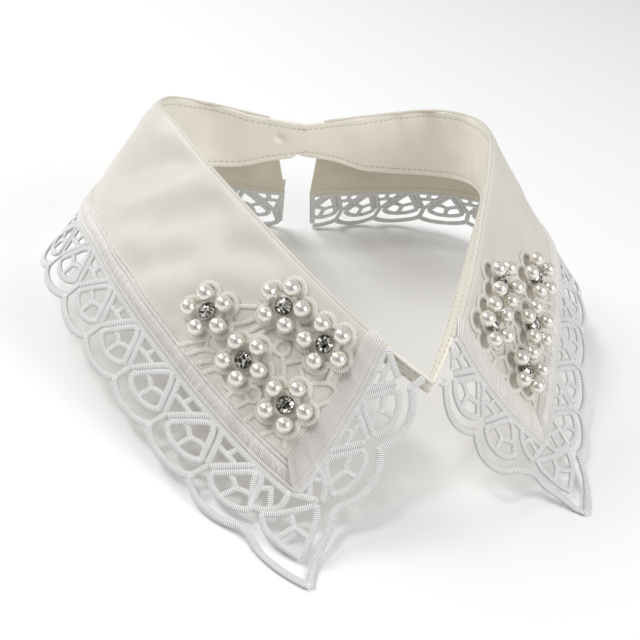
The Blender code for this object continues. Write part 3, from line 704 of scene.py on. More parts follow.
def add_cords(
    piece: Piece,
    hang: Hang,
    side: Side,
    paths: Sequence[Array],
    size: CordSize,
    lift: float,
    rng: np.random.Generator,
    finish: int = 0,
) -> None:
    """Lays cords along draft lines, as tubes with a crest and a groove for each crosswise stitch.

    A ring stands every half stitch, wide and narrow in turn: its points are the line's, plus half the width
    times a cosine across and half the height times a sine along the normal. A line that comes back to its
    start is a closed loop, and another one ends in round caps.

    Args:
        piece: the piece that they are part of.
        hang: the surface that they lie on.
        side: the half.
        paths: lines of draft points, along and down.
        size: the cords' sizes.
        lift: how high over the surface their middles lie.
        rng: makes the stitches a little uneven.
        finish: number of their material.
    """
    counts = [len(path) for path in paths]
    together = np.concatenate(paths)
    hung = np.split(hang(side, together[:, 0], together[:, 1]), np.cumsum(counts)[:-1])
    places: list[Array] = []
    loops: list[bool] = []
    for path, line in zip(paths, hung):
        reach = reached(line)
        stitches = max(2, round(reach[-1] / size.pitch))
        is_loop = bool(np.linalg.norm(path[0] - path[-1]) < SAME_PLACE)
        place = read(path, reach, np.linspace(0, reach[-1], 2 * stitches + 1))
        places.append(place[:-1] if is_loop else place)
        loops.append(is_loop)
    lengths = np.array([len(place) for place in places])
    starts = np.concatenate([[0], np.cumsum(lengths)[:-1]])
    ends = starts + lengths - 1
    loop = np.array(loops)
    spots = np.concatenate(places)
    middle = hang(side, spots[:, 0], spots[:, 1])
    normal = FORM.normal(hang, side, spots[:, 0], spots[:, 1])
    rings = len(spots)
    onward = np.arange(rings) + 1
    backward = np.arange(rings) - 1
    onward[ends] = np.where(loop, starts, ends)
    backward[starts] = np.where(loop, ends, starts)
    tangent = unit(middle[onward] - middle[backward])
    across = unit(np.cross(normal, tangent))
    step = np.arange(rings) - np.repeat(starts, lengths)
    girth = 1 + size.depth * np.where(step % 2 == 0, -1.0, 0.5) + size.uneven * rng.standard_normal(rings)
    angle = (np.arange(size.sides) + 0.5) * 2 * math.pi / size.sides
    sway = np.cos(angle)
    rise = np.sin(angle)
    points = (
        middle[:, None]
        + across[:, None] * (girth[:, None] * sway * size.width / 2)[..., None]
        + normal[:, None] * (lift + girth[:, None] * rise * size.height / 2)[..., None]
    ).reshape(-1, 3)
    cap = size.height * size.cap
    raised = middle + normal * lift
    first = raised[starts] - tangent[starts] * cap
    last = raised[ends] + tangent[ends] * cap
    open_ones = np.flatnonzero(~loop)
    points = np.concatenate([points, first[open_ones], last[open_ones]])

    has_next = np.ones(rings, bool)
    has_next[ends] = loop
    ring = np.flatnonzero(has_next)[:, None]
    j = np.arange(size.sides)
    k = (j + 1) % size.sides
    following = onward[has_next][:, None]
    s = size.sides
    quads = np.stack([ring * s + j, following * s + j, following * s + k, ring * s + k], -1).reshape(-1, 4)
    half = STITCH_UV / 2
    u = np.broadcast_to(step[has_next][:, None] * half, (len(ring), s))
    girdle = CORD_UV / s
    v = np.broadcast_to((j + 0.5) * girdle, (len(ring), s))
    corners = np.stack([u, v, u + half, v, u + half, v + girdle, u, v + girdle], -1).reshape(-1, 4, 2)
    pole = rings * s + np.arange(len(open_ones))
    a = starts[open_ones][:, None] * s
    b = ends[open_ones][:, None] * s
    shape = (len(open_ones), s)
    head = np.stack([np.broadcast_to(pole[:, None], shape), a + j, a + k], -1).reshape(-1, 3)
    pole = pole + len(open_ones)
    tail = np.stack([np.broadcast_to(pole[:, None], shape), b + k, b + j], -1).reshape(-1, 3)
    caps = np.concatenate([head, tail])
    cap_uv = np.broadcast_to([half, CORD_UV / 4], (len(caps), 3, 2))
    piece.add(points, [quads, caps], [corners, cap_uv], finish)


@dataclass(frozen=True)
class Stitch:
    """A running stitch of sewing thread: its length, its thickness and the pitch from one to the next."""

    length: float = 1.75 * MM
    thick: float = 0.34 * MM
    pitch: float = 2.35 * MM
    sides: int = 6

    def add(self, piece: Piece, places: Array, ways: Array, normals: Array, finish: int) -> None:
        """Adds a small spindle at each place: an ellipse of rings along the stitch, with closed ends.

        Args:
            piece: the piece that they are sewn on.
            places: their middles.
            ways: the way each runs.
            normals: the way out of the cloth at each.
            finish: number of their material.
        """
        share = np.array([-0.82, -0.4, 0.4, 0.82])
        radius = np.sqrt(1 - share**2) * self.thick / 2
        angle = np.arange(self.sides) * 2 * math.pi / self.sides
        across = np.cross(normals, ways)
        rings = (
            places[:, None, None]
            + ways[:, None, None] * (share * self.length / 2)[None, :, None, None]
            + across[:, None, None] * (radius[:, None] * np.cos(angle))[None, ..., None]
            + normals[:, None, None] * (radius[:, None] * np.sin(angle))[None, ..., None]
        )
        tips = np.stack([places - ways * self.length / 2, places + ways * self.length / 2], 1)
        points = np.concatenate([rings.reshape(len(places), -1, 3), tips], 1)
        shift = (np.arange(len(places)) * points.shape[1])[:, None, None]
        faces = [(group + shift).reshape(-1, group.shape[1]) for group in ring_faces(len(share), self.sides)]
        piece.add(points.reshape(-1, 3), faces, [np.zeros((*group.shape, 2)) for group in faces], finish)

    def along_line(self, line: Array, normals: Array) -> tuple[Array, Array, Array]:
        """Even places along a hung line, with the line's way and the cloth's normal at each."""
        reach = reached(line)
        at = np.arange(self.pitch / 2, reach[-1] - self.pitch / 2, self.pitch)
        out = unit(read(normals, reach, at))
        ways = unit(read(np.gradient(line, axis=0), reach, at))
        return read(line, reach, at), unit(ways - out * (ways * out).sum(-1, keepdims=True)), out


class NodeBench:
    """Places nodes in a tree and wires them."""

    def __init__(self, tree: bpy.types.NodeTree) -> None:
        """Keeps the tree, emptied."""
        self.tree = tree
        tree.nodes.clear()

    def add(self, kind: str, inputs: dict | None = None, **settings: object) -> bpy.types.Node:
        """A new node. Each input is a constant, or another node's output socket, which is linked."""
        node = self.tree.nodes.new(kind)
        for key, value in settings.items():
            setattr(node, key, value)
        for key, value in (inputs or {}).items():
            if isinstance(value, bpy.types.NodeSocket):
                self.tree.links.new(value, node.inputs[key])
            else:
                node.inputs[key].default_value = value
        return node

    def feed(self, node: bpy.types.Node, sockets: dict[str, bpy.types.NodeSocket]) -> None:
        """Links other nodes' output sockets to a node's named inputs."""
        for name, socket in sockets.items():
            self.tree.links.new(socket, node.inputs[name])

    def math(self, operation: str, *values: object) -> bpy.types.NodeSocket:
        """The result of a Math node."""
        node = self.add("ShaderNodeMath", dict(enumerate(values)), operation=operation)
        return node.outputs[0]

    def mix(self, share: object, first: object, second: object) -> bpy.types.NodeSocket:
        """A blend of two colours."""
        inputs = {0: share, 6: first, 7: second}
        return self.add("ShaderNodeMix", inputs, data_type="RGBA").outputs[2]

    def ramp(self, value: object, low: float, high: float, out_low: float, out_high: float) -> object:
        """A value moved from one range to another and kept inside it."""
        names = ("Value", "From Min", "From Max", "To Min", "To Max")
        inputs = dict(zip(names, (value, low, high, out_low, out_high)))
        return self.add("ShaderNodeMapRange", inputs).outputs[0]


def rgba(color: Sequence[float], share: float = 1.0) -> tuple[float, float, float, float]:
    """A colour with its alpha, darkened to a share."""
    return (color[0] * share, color[1] * share, color[2] * share, 1.0)


def make_group(name: str, inputs: dict[str, tuple[str, object]], outputs: Sequence[str]) -> tuple:
    """An empty node group with named sockets.

    Args:
        name: the group's name.
        inputs: kind and default of each input.
        outputs: names of its value outputs.

    Returns:
        The group, a bench for its nodes, and its input and output nodes.
    """
    group = bpy.data.node_groups.new(name, "ShaderNodeTree")
    for label, (kind, default) in inputs.items():
        socket = group.interface.new_socket(label, in_out="INPUT", socket_type=kind)
        if default is not None:
            socket.default_value = default
    for label in outputs:
        group.interface.new_socket(label, in_out="OUTPUT", socket_type="NodeSocketFloat")
    bench = NodeBench(group)
    return group, bench, bench.add("NodeGroupInput"), bench.add("NodeGroupOutput")


def thread_group() -> bpy.types.NodeTree:
    """Crosswise stitches along a cord's UV: a groove between stitches, and the strands of each stitch.

    The groove mask is half of one plus a cosine of u over the pitch; it also places painted shade in the
    grooves.
    Height adds sines of u at the strands' spacing, bent by noise. The mask of painted shade on a cord's sides
    rises from 0 on its top and bottom to 1 at its sides, by the sine of v over the way round.
    """
    group, bench, given, out = make_group(
        "stitched_thread",
        {
            "UV": ("NodeSocketVector", None),
            "Pitch": ("NodeSocketFloat", STITCH_UV),
            "Strand": ("NodeSocketFloat", 0.11 * MM),
        },
        ("Groove", "Height", "Wear", "Flank"),
    )
    uv = given.outputs["UV"]
    parts = bench.add("ShaderNodeSeparateXYZ", {0: uv})
    turn = bench.math("DIVIDE", parts.outputs[0], given.outputs["Pitch"])
    wave = bench.math("COSINE", bench.math("MULTIPLY", turn, 2 * math.pi))
    # The groove mask shapes the bump, and masks the painted shade between stitches
    groove = bench.math("MULTIPLY_ADD", wave, 0.5, 0.5)
    noise = bench.add("ShaderNodeTexNoise", {"Vector": uv, "Scale": 900.0, "Detail": 2.0})
    bent = bench.math("MULTIPLY_ADD", noise.outputs[0], 0.12 * MM, parts.outputs[0])
    strands = bench.math("DIVIDE", bent, given.outputs["Strand"])
    strand = bench.math("SINE", bench.math("MULTIPLY", strands, 2 * math.pi))
    height = bench.math("MULTIPLY_ADD", strand, 0.2, bench.math("SUBTRACT", 1.0, groove))
    wear = bench.add("ShaderNodeTexNoise", {"Vector": uv, "Scale": 160.0, "Detail": 3.0})
    # The mask of painted shade on a cord's sides
    around = bench.math("SINE", bench.math("MULTIPLY", parts.outputs[1], 2 * math.pi / CORD_UV))
    over = bench.math("ABSOLUTE", around)
    flank = bench.ramp(over, 0.0, 0.6, 1.0, 0.0)
    bench.feed(out, {"Groove": groove, "Height": height, "Wear": wear.outputs[0], "Flank": flank})
    return group


def mottle_group() -> bpy.types.NodeTree:
    """Slow unevenness of cloth on Object coordinates: soft noise at a given size, and a finer one in it."""
    group, bench, given, out = make_group(
        "cloth_mottle",
        {"Position": ("NodeSocketVector", None), "Size": ("NodeSocketFloat", 12 * MM)},
        ("Slow", "Fine"),
    )
    scale = bench.math("DIVIDE", 1.0, given.outputs["Size"])
    position = given.outputs["Position"]
    slow = bench.add("ShaderNodeTexNoise", {"Vector": position, "Scale": scale, "Detail": 1.0})
    finer = bench.math("MULTIPLY", scale, 9.0)
    fine = bench.add("ShaderNodeTexNoise", {"Vector": position, "Scale": finer, "Detail": 3.0})
    bench.feed(out, {"Slow": slow.outputs[0], "Fine": fine.outputs[0]})
    return group


class Effects:
    """The shared effects, each built once."""

    _made: dict[str, bpy.types.NodeTree] = {}

    @classmethod
    def use(cls, bench: NodeBench, maker: Callable[[], bpy.types.NodeTree], inputs: dict) -> bpy.types.Node:
        """A group node of an effect in a material, with its own values."""
        if maker.__name__ not in cls._made:
            cls._made[maker.__name__] = maker()
        return bench.add("ShaderNodeGroup", inputs, node_tree=cls._made[maker.__name__])

    @classmethod
    def mottle(cls, bench: NodeBench, size: float) -> bpy.types.Node:
        """The mottle on Object coordinates, with its slow noise at a given size."""
        place = bench.add("ShaderNodeTexCoord").outputs["Object"]
        return cls.use(bench, mottle_group, {"Position": place, "Size": size})


def start_material(name: str, constants: dict[str, object]) -> tuple:
    """A material with a Principled BSDF that holds its constants.

    Returns:
        The material, a bench for its nodes, and the shader.
    """
    material = bpy.data.materials.new(name)
    material.use_nodes = True
    bench = NodeBench(material.node_tree)
    shader = bench.add("ShaderNodeBsdfPrincipled", constants)
    bench.add("ShaderNodeOutputMaterial", {"Surface": shader.outputs[0]})
    return material, bench, shader


@dataclass(frozen=True)
class SatinFinish:
    """Cream duchesse satin: close weft threads under a soft sheen, faintly mottled."""

    name: str = "cream_satin"
    color: tuple[float, float, float] = (0.77, 0.73, 0.66)
    shade: float = 0.92
    roughness: float = 0.36
    sheen: float = 0.1
    thread: float = 0.28 * MM
    relief: float = 0.012 * MM
    mottle_size: float = 14 * MM

    def material(self) -> bpy.types.Material:
        """Mottled colour, and a bump of fine threads: a sine of v over the thread's width, bent by noise."""
        constants = {"Sheen Weight": self.sheen, "Sheen Roughness": 0.35, "Specular IOR Level": 0.4}
        material, bench, shader = start_material(self.name, constants)
        mottle = Effects.mottle(bench, self.mottle_size)
        tone = bench.mix(mottle.outputs["Slow"], rgba(self.color, self.shade), rgba(self.color))
        uv = bench.add("ShaderNodeUVMap", uv_map="weave").outputs[0]
        parts = bench.add("ShaderNodeSeparateXYZ", {0: uv})
        bent = bench.math("MULTIPLY_ADD", mottle.outputs["Fine"], 0.3 * MM, parts.outputs[1])
        weft = bench.math("SINE", bench.math("MULTIPLY", bent, 2 * math.pi / self.thread))
        slub = bench.math("MULTIPLY_ADD", mottle.outputs["Fine"], 1.5, weft)
        bump = bench.add("ShaderNodeBump", {"Height": slub, "Distance": self.relief, "Strength": 1.0})
        rough = bench.ramp(mottle.outputs["Fine"], 0.3, 0.7, self.roughness - 0.05, self.roughness + 0.05)
        bench.feed(shader, {"Base Color": tone, "Roughness": rough, "Normal": bump.outputs[0]})
        return material


@dataclass(frozen=True)
class ThreadFinish:
    """Embroidery thread laid in crosswise stitches, with painted shade in the grooves between them and on the
    cords' sides.
    """

    name: str
    color: tuple[float, float, float]
    # Painted shade in the grooves: the share of the colour left there, and where the groove mask starts to
    # darken it
    groove: float = 0.45
    groove_from: float = 0.72
    pitch: float = STITCH_UV
    strand: float = 0.11 * MM
    roughness: float = 0.5
    sheen: float = 0.3
    relief: float = 0.04 * MM
    # How deep the painted shade on the cords' sides is
    flank: float = 0.0

    def material(self) -> bpy.types.Material:
        """Colour falls to the groove's share as painted shade in grooves and on the cords' sides, and a
        little with wear; strands are bumped.
        """
        constants = {"Sheen Weight": self.sheen, "Sheen Roughness": 0.5, "Specular IOR Level": 0.35}
        material, bench, shader = start_material(self.name, constants)
        uv = bench.add("ShaderNodeUVMap", uv_map="weave").outputs[0]
        inputs = {"UV": uv, "Pitch": self.pitch, "Strand": self.strand}
        thread = Effects.use(bench, thread_group, inputs)
        # Painted shade: darker in the grooves between stitches and on the cords' sides, and a little darker
        # at random with wear
        deep = bench.ramp(thread.outputs["Groove"], self.groove_from, 1.0, 0.0, 1.0)
        worn = bench.ramp(thread.outputs["Wear"], 0.35, 0.7, 0.0, 0.12)
        sides = bench.math("MULTIPLY", thread.outputs["Flank"], self.flank)
        share = bench.math("MAXIMUM", bench.math("MAXIMUM", deep, worn), sides)
        tone = bench.mix(share, rgba(self.color), rgba(self.color, self.groove))
        rough = bench.ramp(thread.outputs["Wear"], 0.3, 0.7, self.roughness - 0.08, self.roughness + 0.08)
        bump = bench.add("ShaderNodeBump", {"Height": thread.outputs["Height"], "Distance": self.relief})
        bench.feed(shader, {"Base Color": tone, "Roughness": rough, "Normal": bump.outputs[0]})
        return material


@dataclass(frozen=True)
class GlossFinish:
    """Pearl, button or metal: one colour with faint clouds, and a coat where it has one."""

    name: str
    color: tuple[float, float, float]
    cloud: float = 0.92
    roughness: float = 0.2
    metallic: float = 0.0
    coat: float = 0.0
    cloud_size: float = 3 * MM

    def material(self) -> bpy.types.Material:
        """Colour clouded by soft noise, and roughness that changes a little with the fine one."""
        constants = {"Metallic": self.metallic, "Coat Weight": self.coat, "Coat Roughness": 0.06}
        material, bench, shader = start_material(self.name, constants)
        mottle = Effects.mottle(bench, self.cloud_size)
        tone = bench.mix(mottle.outputs["Slow"], rgba(self.color, self.cloud), rgba(self.color))
        rough = bench.ramp(mottle.outputs["Fine"], 0.3, 0.7, self.roughness * 0.8, self.roughness * 1.2)
        bench.feed(shader, {"Base Color": tone, "Roughness": rough})
        return material


@dataclass(frozen=True)
class StoneFinish:
    """Foiled rhinestone with painted reflections: each facet's colour is painted from nearly black to white.
    """

    name: str = "foiled_stone"
    roughness: float = 0.06
    # Colours of the painted facet reflections, from the deepest to the lightest
    dark: tuple[float, float, float] = (0.02, 0.018, 0.013)
    bright: tuple[float, float, float] = (1.0, 0.98, 0.93)
    cloud_size: float = 1.2 * MM

    def material(self) -> bpy.types.Material:
        """Each face's own value sets its painted reflection, near black for most of the range and white at
        the top.
        """
        constants = {"Metallic": 0.85, "Coat Weight": 1.0, "Coat Roughness": 0.02}
        material, bench, shader = start_material(self.name, constants)
        # The per-face tone values are painted reflections, one per facet, clouded by the mottle
        tone = bench.add("ShaderNodeAttribute", attribute_name="tone", attribute_type="GEOMETRY")
        mottle = Effects.mottle(bench, self.cloud_size)
        value = bench.math("MULTIPLY_ADD", mottle.outputs["Slow"], 0.3, tone.outputs["Fac"])
        share = bench.ramp(value, 0.45, 1.0, 0.0, 1.0)
        color = bench.mix(share, rgba(self.dark), rgba(self.bright))
        rough = bench.ramp(mottle.outputs["Fine"], 0.3, 0.7, self.roughness * 0.6, self.roughness * 1.6)
        bench.feed(shader, {"Base Color": color, "Roughness": rough})
        return material


@dataclass(frozen=True)
class PlainFinish:
    """A plain matt surface of the studio."""

    name: str
    color: tuple[float, float, float]
    cloud_size: float = 0.4

    def material(self) -> bpy.types.Material:
        """One colour with the faintest unevenness."""
        material, bench, shader = start_material(self.name, {"Roughness": 0.8})
        mottle = Effects.mottle(bench, self.cloud_size)
        tone = bench.mix(mottle.outputs["Slow"], rgba(self.color, 0.99), rgba(self.color))
        bench.feed(shader, {"Base Color": tone})
        return material


@dataclass(frozen=True)
class Finishes:
    """Every finish of the collar, made once."""

    satin: bpy.types.Material
    underside: bpy.types.Material
    stand: bpy.types.Material
    stitch: bpy.types.Material
    lattice: bpy.types.Material
    lace: bpy.types.Material
    sewing: bpy.types.Material
    pearl: bpy.types.Material
    stone: bpy.types.Material
    setting: bpy.types.Material
    button: bpy.types.Material

    @classmethod
    def make(cls) -> "Finishes":
        """Builds the materials from their colours, which are scene-linear."""
        return cls(
            satin=SatinFinish().material(),
            # The underside is a darker, yellower copy of the same satin: painted shade and bounce light
            underside=SatinFinish("satin_underside", (0.74, 0.68, 0.55), roughness=0.5).material(),
            # The stand is a lighter copy of the same satin: painted light from the front
            stand=SatinFinish("stand_satin", (0.93, 0.89, 0.79)).material(),
            # groove and flank set painted shade: the colour left in the grooves between stitches, and the
            # darkening on the cords' sides
            stitch=ThreadFinish("satin_stitch", (0.95, 0.92, 0.87), groove=0.4, roughness=0.36).material(),
            lattice=ThreadFinish("lattice_stitch", (0.93, 0.89, 0.82), groove=0.45, flank=0.55).material(),
            lace=ThreadFinish("guipure_thread", (0.92, 0.915, 0.90), groove=0.26, flank=0.7).material(),
            # The sewing thread is darkened past its own colour: painted shade, so the stitches read as the
            # dark dots of their shadows
            sewing=ThreadFinish("sewing_thread", (0.55, 0.48, 0.37), groove=1.0).material(),
            pearl=GlossFinish("ivory_pearl", (0.90, 0.865, 0.79), 0.95, 0.15, 0.6, coat=1.0).material(),
            stone=StoneFinish().material(),
            setting=GlossFinish("setting_metal", (0.33, 0.31, 0.27), 0.7, 0.28, metallic=1.0).material(),
            button=GlossFinish("ivory_button", (0.82, 0.78, 0.68), 0.93, 0.25, coat=0.6).material(),
        )


def seat(piece: bpy.types.Object, slot: Slot, *nodes: str) -> bpy.types.Object:
    """Makes a finished piece ride on the collar and stand for its CAD nodes, which it hides."""
    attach(piece, BODY)
    if nodes:
        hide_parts(*nodes)
    log.info("%s: %d faces", piece.name, len(piece.data.polygons))
    return piece


# How far from a rim the first lines of a grid of cloth lie, in mm, and those from its short ends
RIM_STEPS = (0.0, 0.05, 0.18, 0.36, 0.6)
SIDE_STEPS = (*RIM_STEPS, 1.2)


def rim_half(distance: Array, half: float) -> Array:
    """Half the thickness of a grid of cloth: a quarter circle near its rim, and 0 all round."""
    shares = half * np.sqrt(np.clip(1 - (1 - np.clip(distance / half, 0, 1)) ** 2, 0, 1))
    shares[[0, -1]] = 0
    shares[:, [0, -1]] = 0
    return shares


def spans(length: float, near: Sequence[float], steps: int) -> Array:
    """Distances from one rim to the other: close ones in mm at both ends, and even ones between."""
    close = np.array(near) * MM
    between = np.linspace(close[-1], length - close[-1], steps + 2)[1:-1]
    return np.concatenate([close, between, (length - close)[::-1]])


@dataclass(frozen=True)
class SatinLeaf:
    """One satin fall: a thin wall that rolls over the stand and hangs with its creases."""

    side: Side
    columns: int = 190
    rows: int = 26
    fold_steps: tuple[float, ...] = (*RIM_STEPS, 0.8, 1.0, 1.2, 1.4, 1.7, 2.1, 2.7, 3.5)
    hem_steps: tuple[float, ...] = (*RIM_STEPS, 1.5, 3.0)
    seam_down: float = 1.15 * MM
    seam_wide: float = 0.28 * MM
    seam_deep: float = 0.16 * MM
    hem_stitch: float = 3.6 * MM
    hem_sewn: tuple[float, float] = (0.02, 0.995)
    hem_proud: float = 0.02 * MM

    def draft(self, u: Array, v: Array, hem: Array) -> Array:
        """Distances along a grid: u is a share of the edge's true length, v a distance down, hem its end."""
        share = np.interp(u * FORM.edge_length(self.side), *FORM.edge_lengths(self.side))
        top = FORM.front_at_fold + share * (FORM.of(FORM.back_at_fold, self.side) - FORM.front_at_fold)
        bottom = FORM.outer_edge(self.side, share)[..., 0]
        return top + v / hem * (bottom - top)

    def build(self, finishes: Finishes) -> bpy.types.Object:
        """The wall, with a seam's groove along the fold and a row of stitches along the underside's hem."""
        length = FORM.edge_length(self.side)
        ahead = spans(length, SIDE_STEPS, self.columns)
        u = (ahead / length)[None, :]
        share = np.interp(ahead, *FORM.edge_lengths(self.side))
        hem = FORM.outer_edge(self.side, share)[:, 1][None, :]
        fold = np.array(self.fold_steps)[:, None] * MM + 0 * hem
        near_hem = hem - np.array(self.hem_steps)[::-1, None] * MM
        t = np.linspace(0, 1, self.rows + 2)[1:-1, None]
        down = np.concatenate([fold, fold[-1:] + t * (near_hem[:1] - fold[-1:]), near_hem])
        along = self.draft(u, down, hem)
        seam = -self.seam_deep * np.exp(-(((down - self.seam_down) / self.seam_wide) ** 2))
        middle = FORM.lifted(satin_leaf, self.side, along, down, seam)
        sides = np.minimum(ahead, length - ahead)[None, :]
        rim = np.minimum(np.minimum(down, hem - down), sides)
        half = rim_half(rim, FORM.cloth / 2)
        piece = Piece("satin_leaf_" + self.side.value)
        # The inner face takes the underside satin, a darker copy with painted shade
        add_cloth(piece, middle, half, np.stack([along, down], -1), (0, 2)[:: self.side.sign])
        self.sew_hem(piece)
        return piece.build([finishes.satin, finishes.sewing, finishes.underside])

    def sew_hem(self, piece: Piece) -> None:
        """Sews the running stitches that show on the underside along the hem."""
        stitch = Stitch()
        edge = FORM.edge_at(self.side, np.linspace(*self.hem_sewn, 260) * FORM.edge_length(self.side))
        along, down = edge[:, 0], edge[:, 1] - self.hem_stitch
        normals = -FORM.normal(satin_leaf, self.side, along, down)
        line = satin_leaf(self.side, along, down) + normals * (FORM.cloth / 2 + self.hem_proud)
        # The stitches take the sewing thread, darkened with painted shade
        stitch.add(piece, *stitch.along_line(line, normals), 1)


@dataclass(frozen=True)
class NeckStand:
    """The neck band: one strip from the left tab round the front to the right tab."""

    columns: int = 300
    rows: int = 12
    near: tuple[float, ...] = (*RIM_STEPS, 1.3, 2.0, 2.35, 2.7, 3.4)
    top: float = 0.1 * MM
    low_at: float = 12.0 * MM
    line: float = 2.35 * MM
    line_wide: float = 0.5 * MM
    line_deep: float = 0.14 * MM
    tip_run: float = 8.0 * MM
    tip_down: float = 9.2 * MM
    tip_least: float = 0.12
    seam: float = 0.75 * MM
    proud: float = 0.06 * MM
    line_points: int = 700
    first: float = -(FORM.half_neck + FORM.tab_reach[0])
    length: float = FORM.half_neck + FORM.tab_reach[1] - first

    def tall(self, signed: Array) -> Array:
        """The strip's height and its seam at signed distances."""
        return FORM.stand_height(np.abs(signed)) + self.seam

    def place(self, signed: Array, down: Array) -> Array:
        """Points of the strip at signed distances from the centre front, with its creases."""
        along = np.abs(signed)
        lift = creased(STAND_CREASES, signed, down) * STAND_CREASE
        left, right = (FORM.lifted(FORM.stand, side, along, down, lift) for side in Side)
        return np.where((signed < 0)[..., None], left, right)

    def normals(self, signed: Array, down: Array) -> Array:
        """Normals of the strip, out of the ring."""
        left, right = (FORM.normal(FORM.stand, side, np.abs(signed), down) for side in Side)
        return np.where((signed < 0)[..., None], left, right)

    def build(self, finishes: Finishes) -> bpy.types.Object:
        """The wall, with a shallow groove and a row of stitches inside each of its long edges."""
        ahead = spans(self.length, SIDE_STEPS, self.columns)
        signed = (self.first + ahead)[None, :]
        height = self.tall(signed)
        squeeze = np.minimum(1, height / self.low_at)
        near = np.array(self.near)[:, None] * MM * squeeze
        t = np.linspace(0, 1, self.rows + 2)[1:-1, None]
        deep = np.concatenate([near, near[-1:] + t * (height - 2 * near[-1:]), height - near[::-1]])
        signed = signed + 0 * deep
        rim = np.minimum(np.minimum(deep, height - deep), np.minimum(ahead, self.length - ahead)[None, :])
        half = rim_half(rim, FORM.cloth / 2)
        narrow = np.clip((ahead / self.tip_run)[None, :], self.tip_least, 1)
        deep = self.tip_down + (deep - self.tip_down) * narrow
        dent = np.exp(-(((rim - self.line * squeeze) / self.line_wide) ** 2)) * self.line_deep
        half = half - dent * (half > 0)
        piece = Piece("neck_stand")
        add_cloth(piece, self.place(signed, deep + self.top), half, np.stack([signed, deep], -1))
        at = np.linspace(self.first + self.line, self.first + self.length - self.line, self.line_points)
        tall = self.tall(at)
        inset = self.line * np.minimum(1, tall / self.low_at)
        stitch = Stitch()
        for down in (inset, tall - inset):
            middle = self.place(at, down + self.top)
            out = self.normals(at, down + self.top)
            for face in (-1, 1):
                line = middle + out * face * (FORM.cloth / 2 - self.line_deep + self.proud)
                stitch.add(piece, *stitch.along_line(line, out * face), 1)
        # The stand takes the lighter satin copy with painted light, and its stitches the sewing thread with
        # painted shade
        return piece.build([finishes.stand, finishes.sewing])


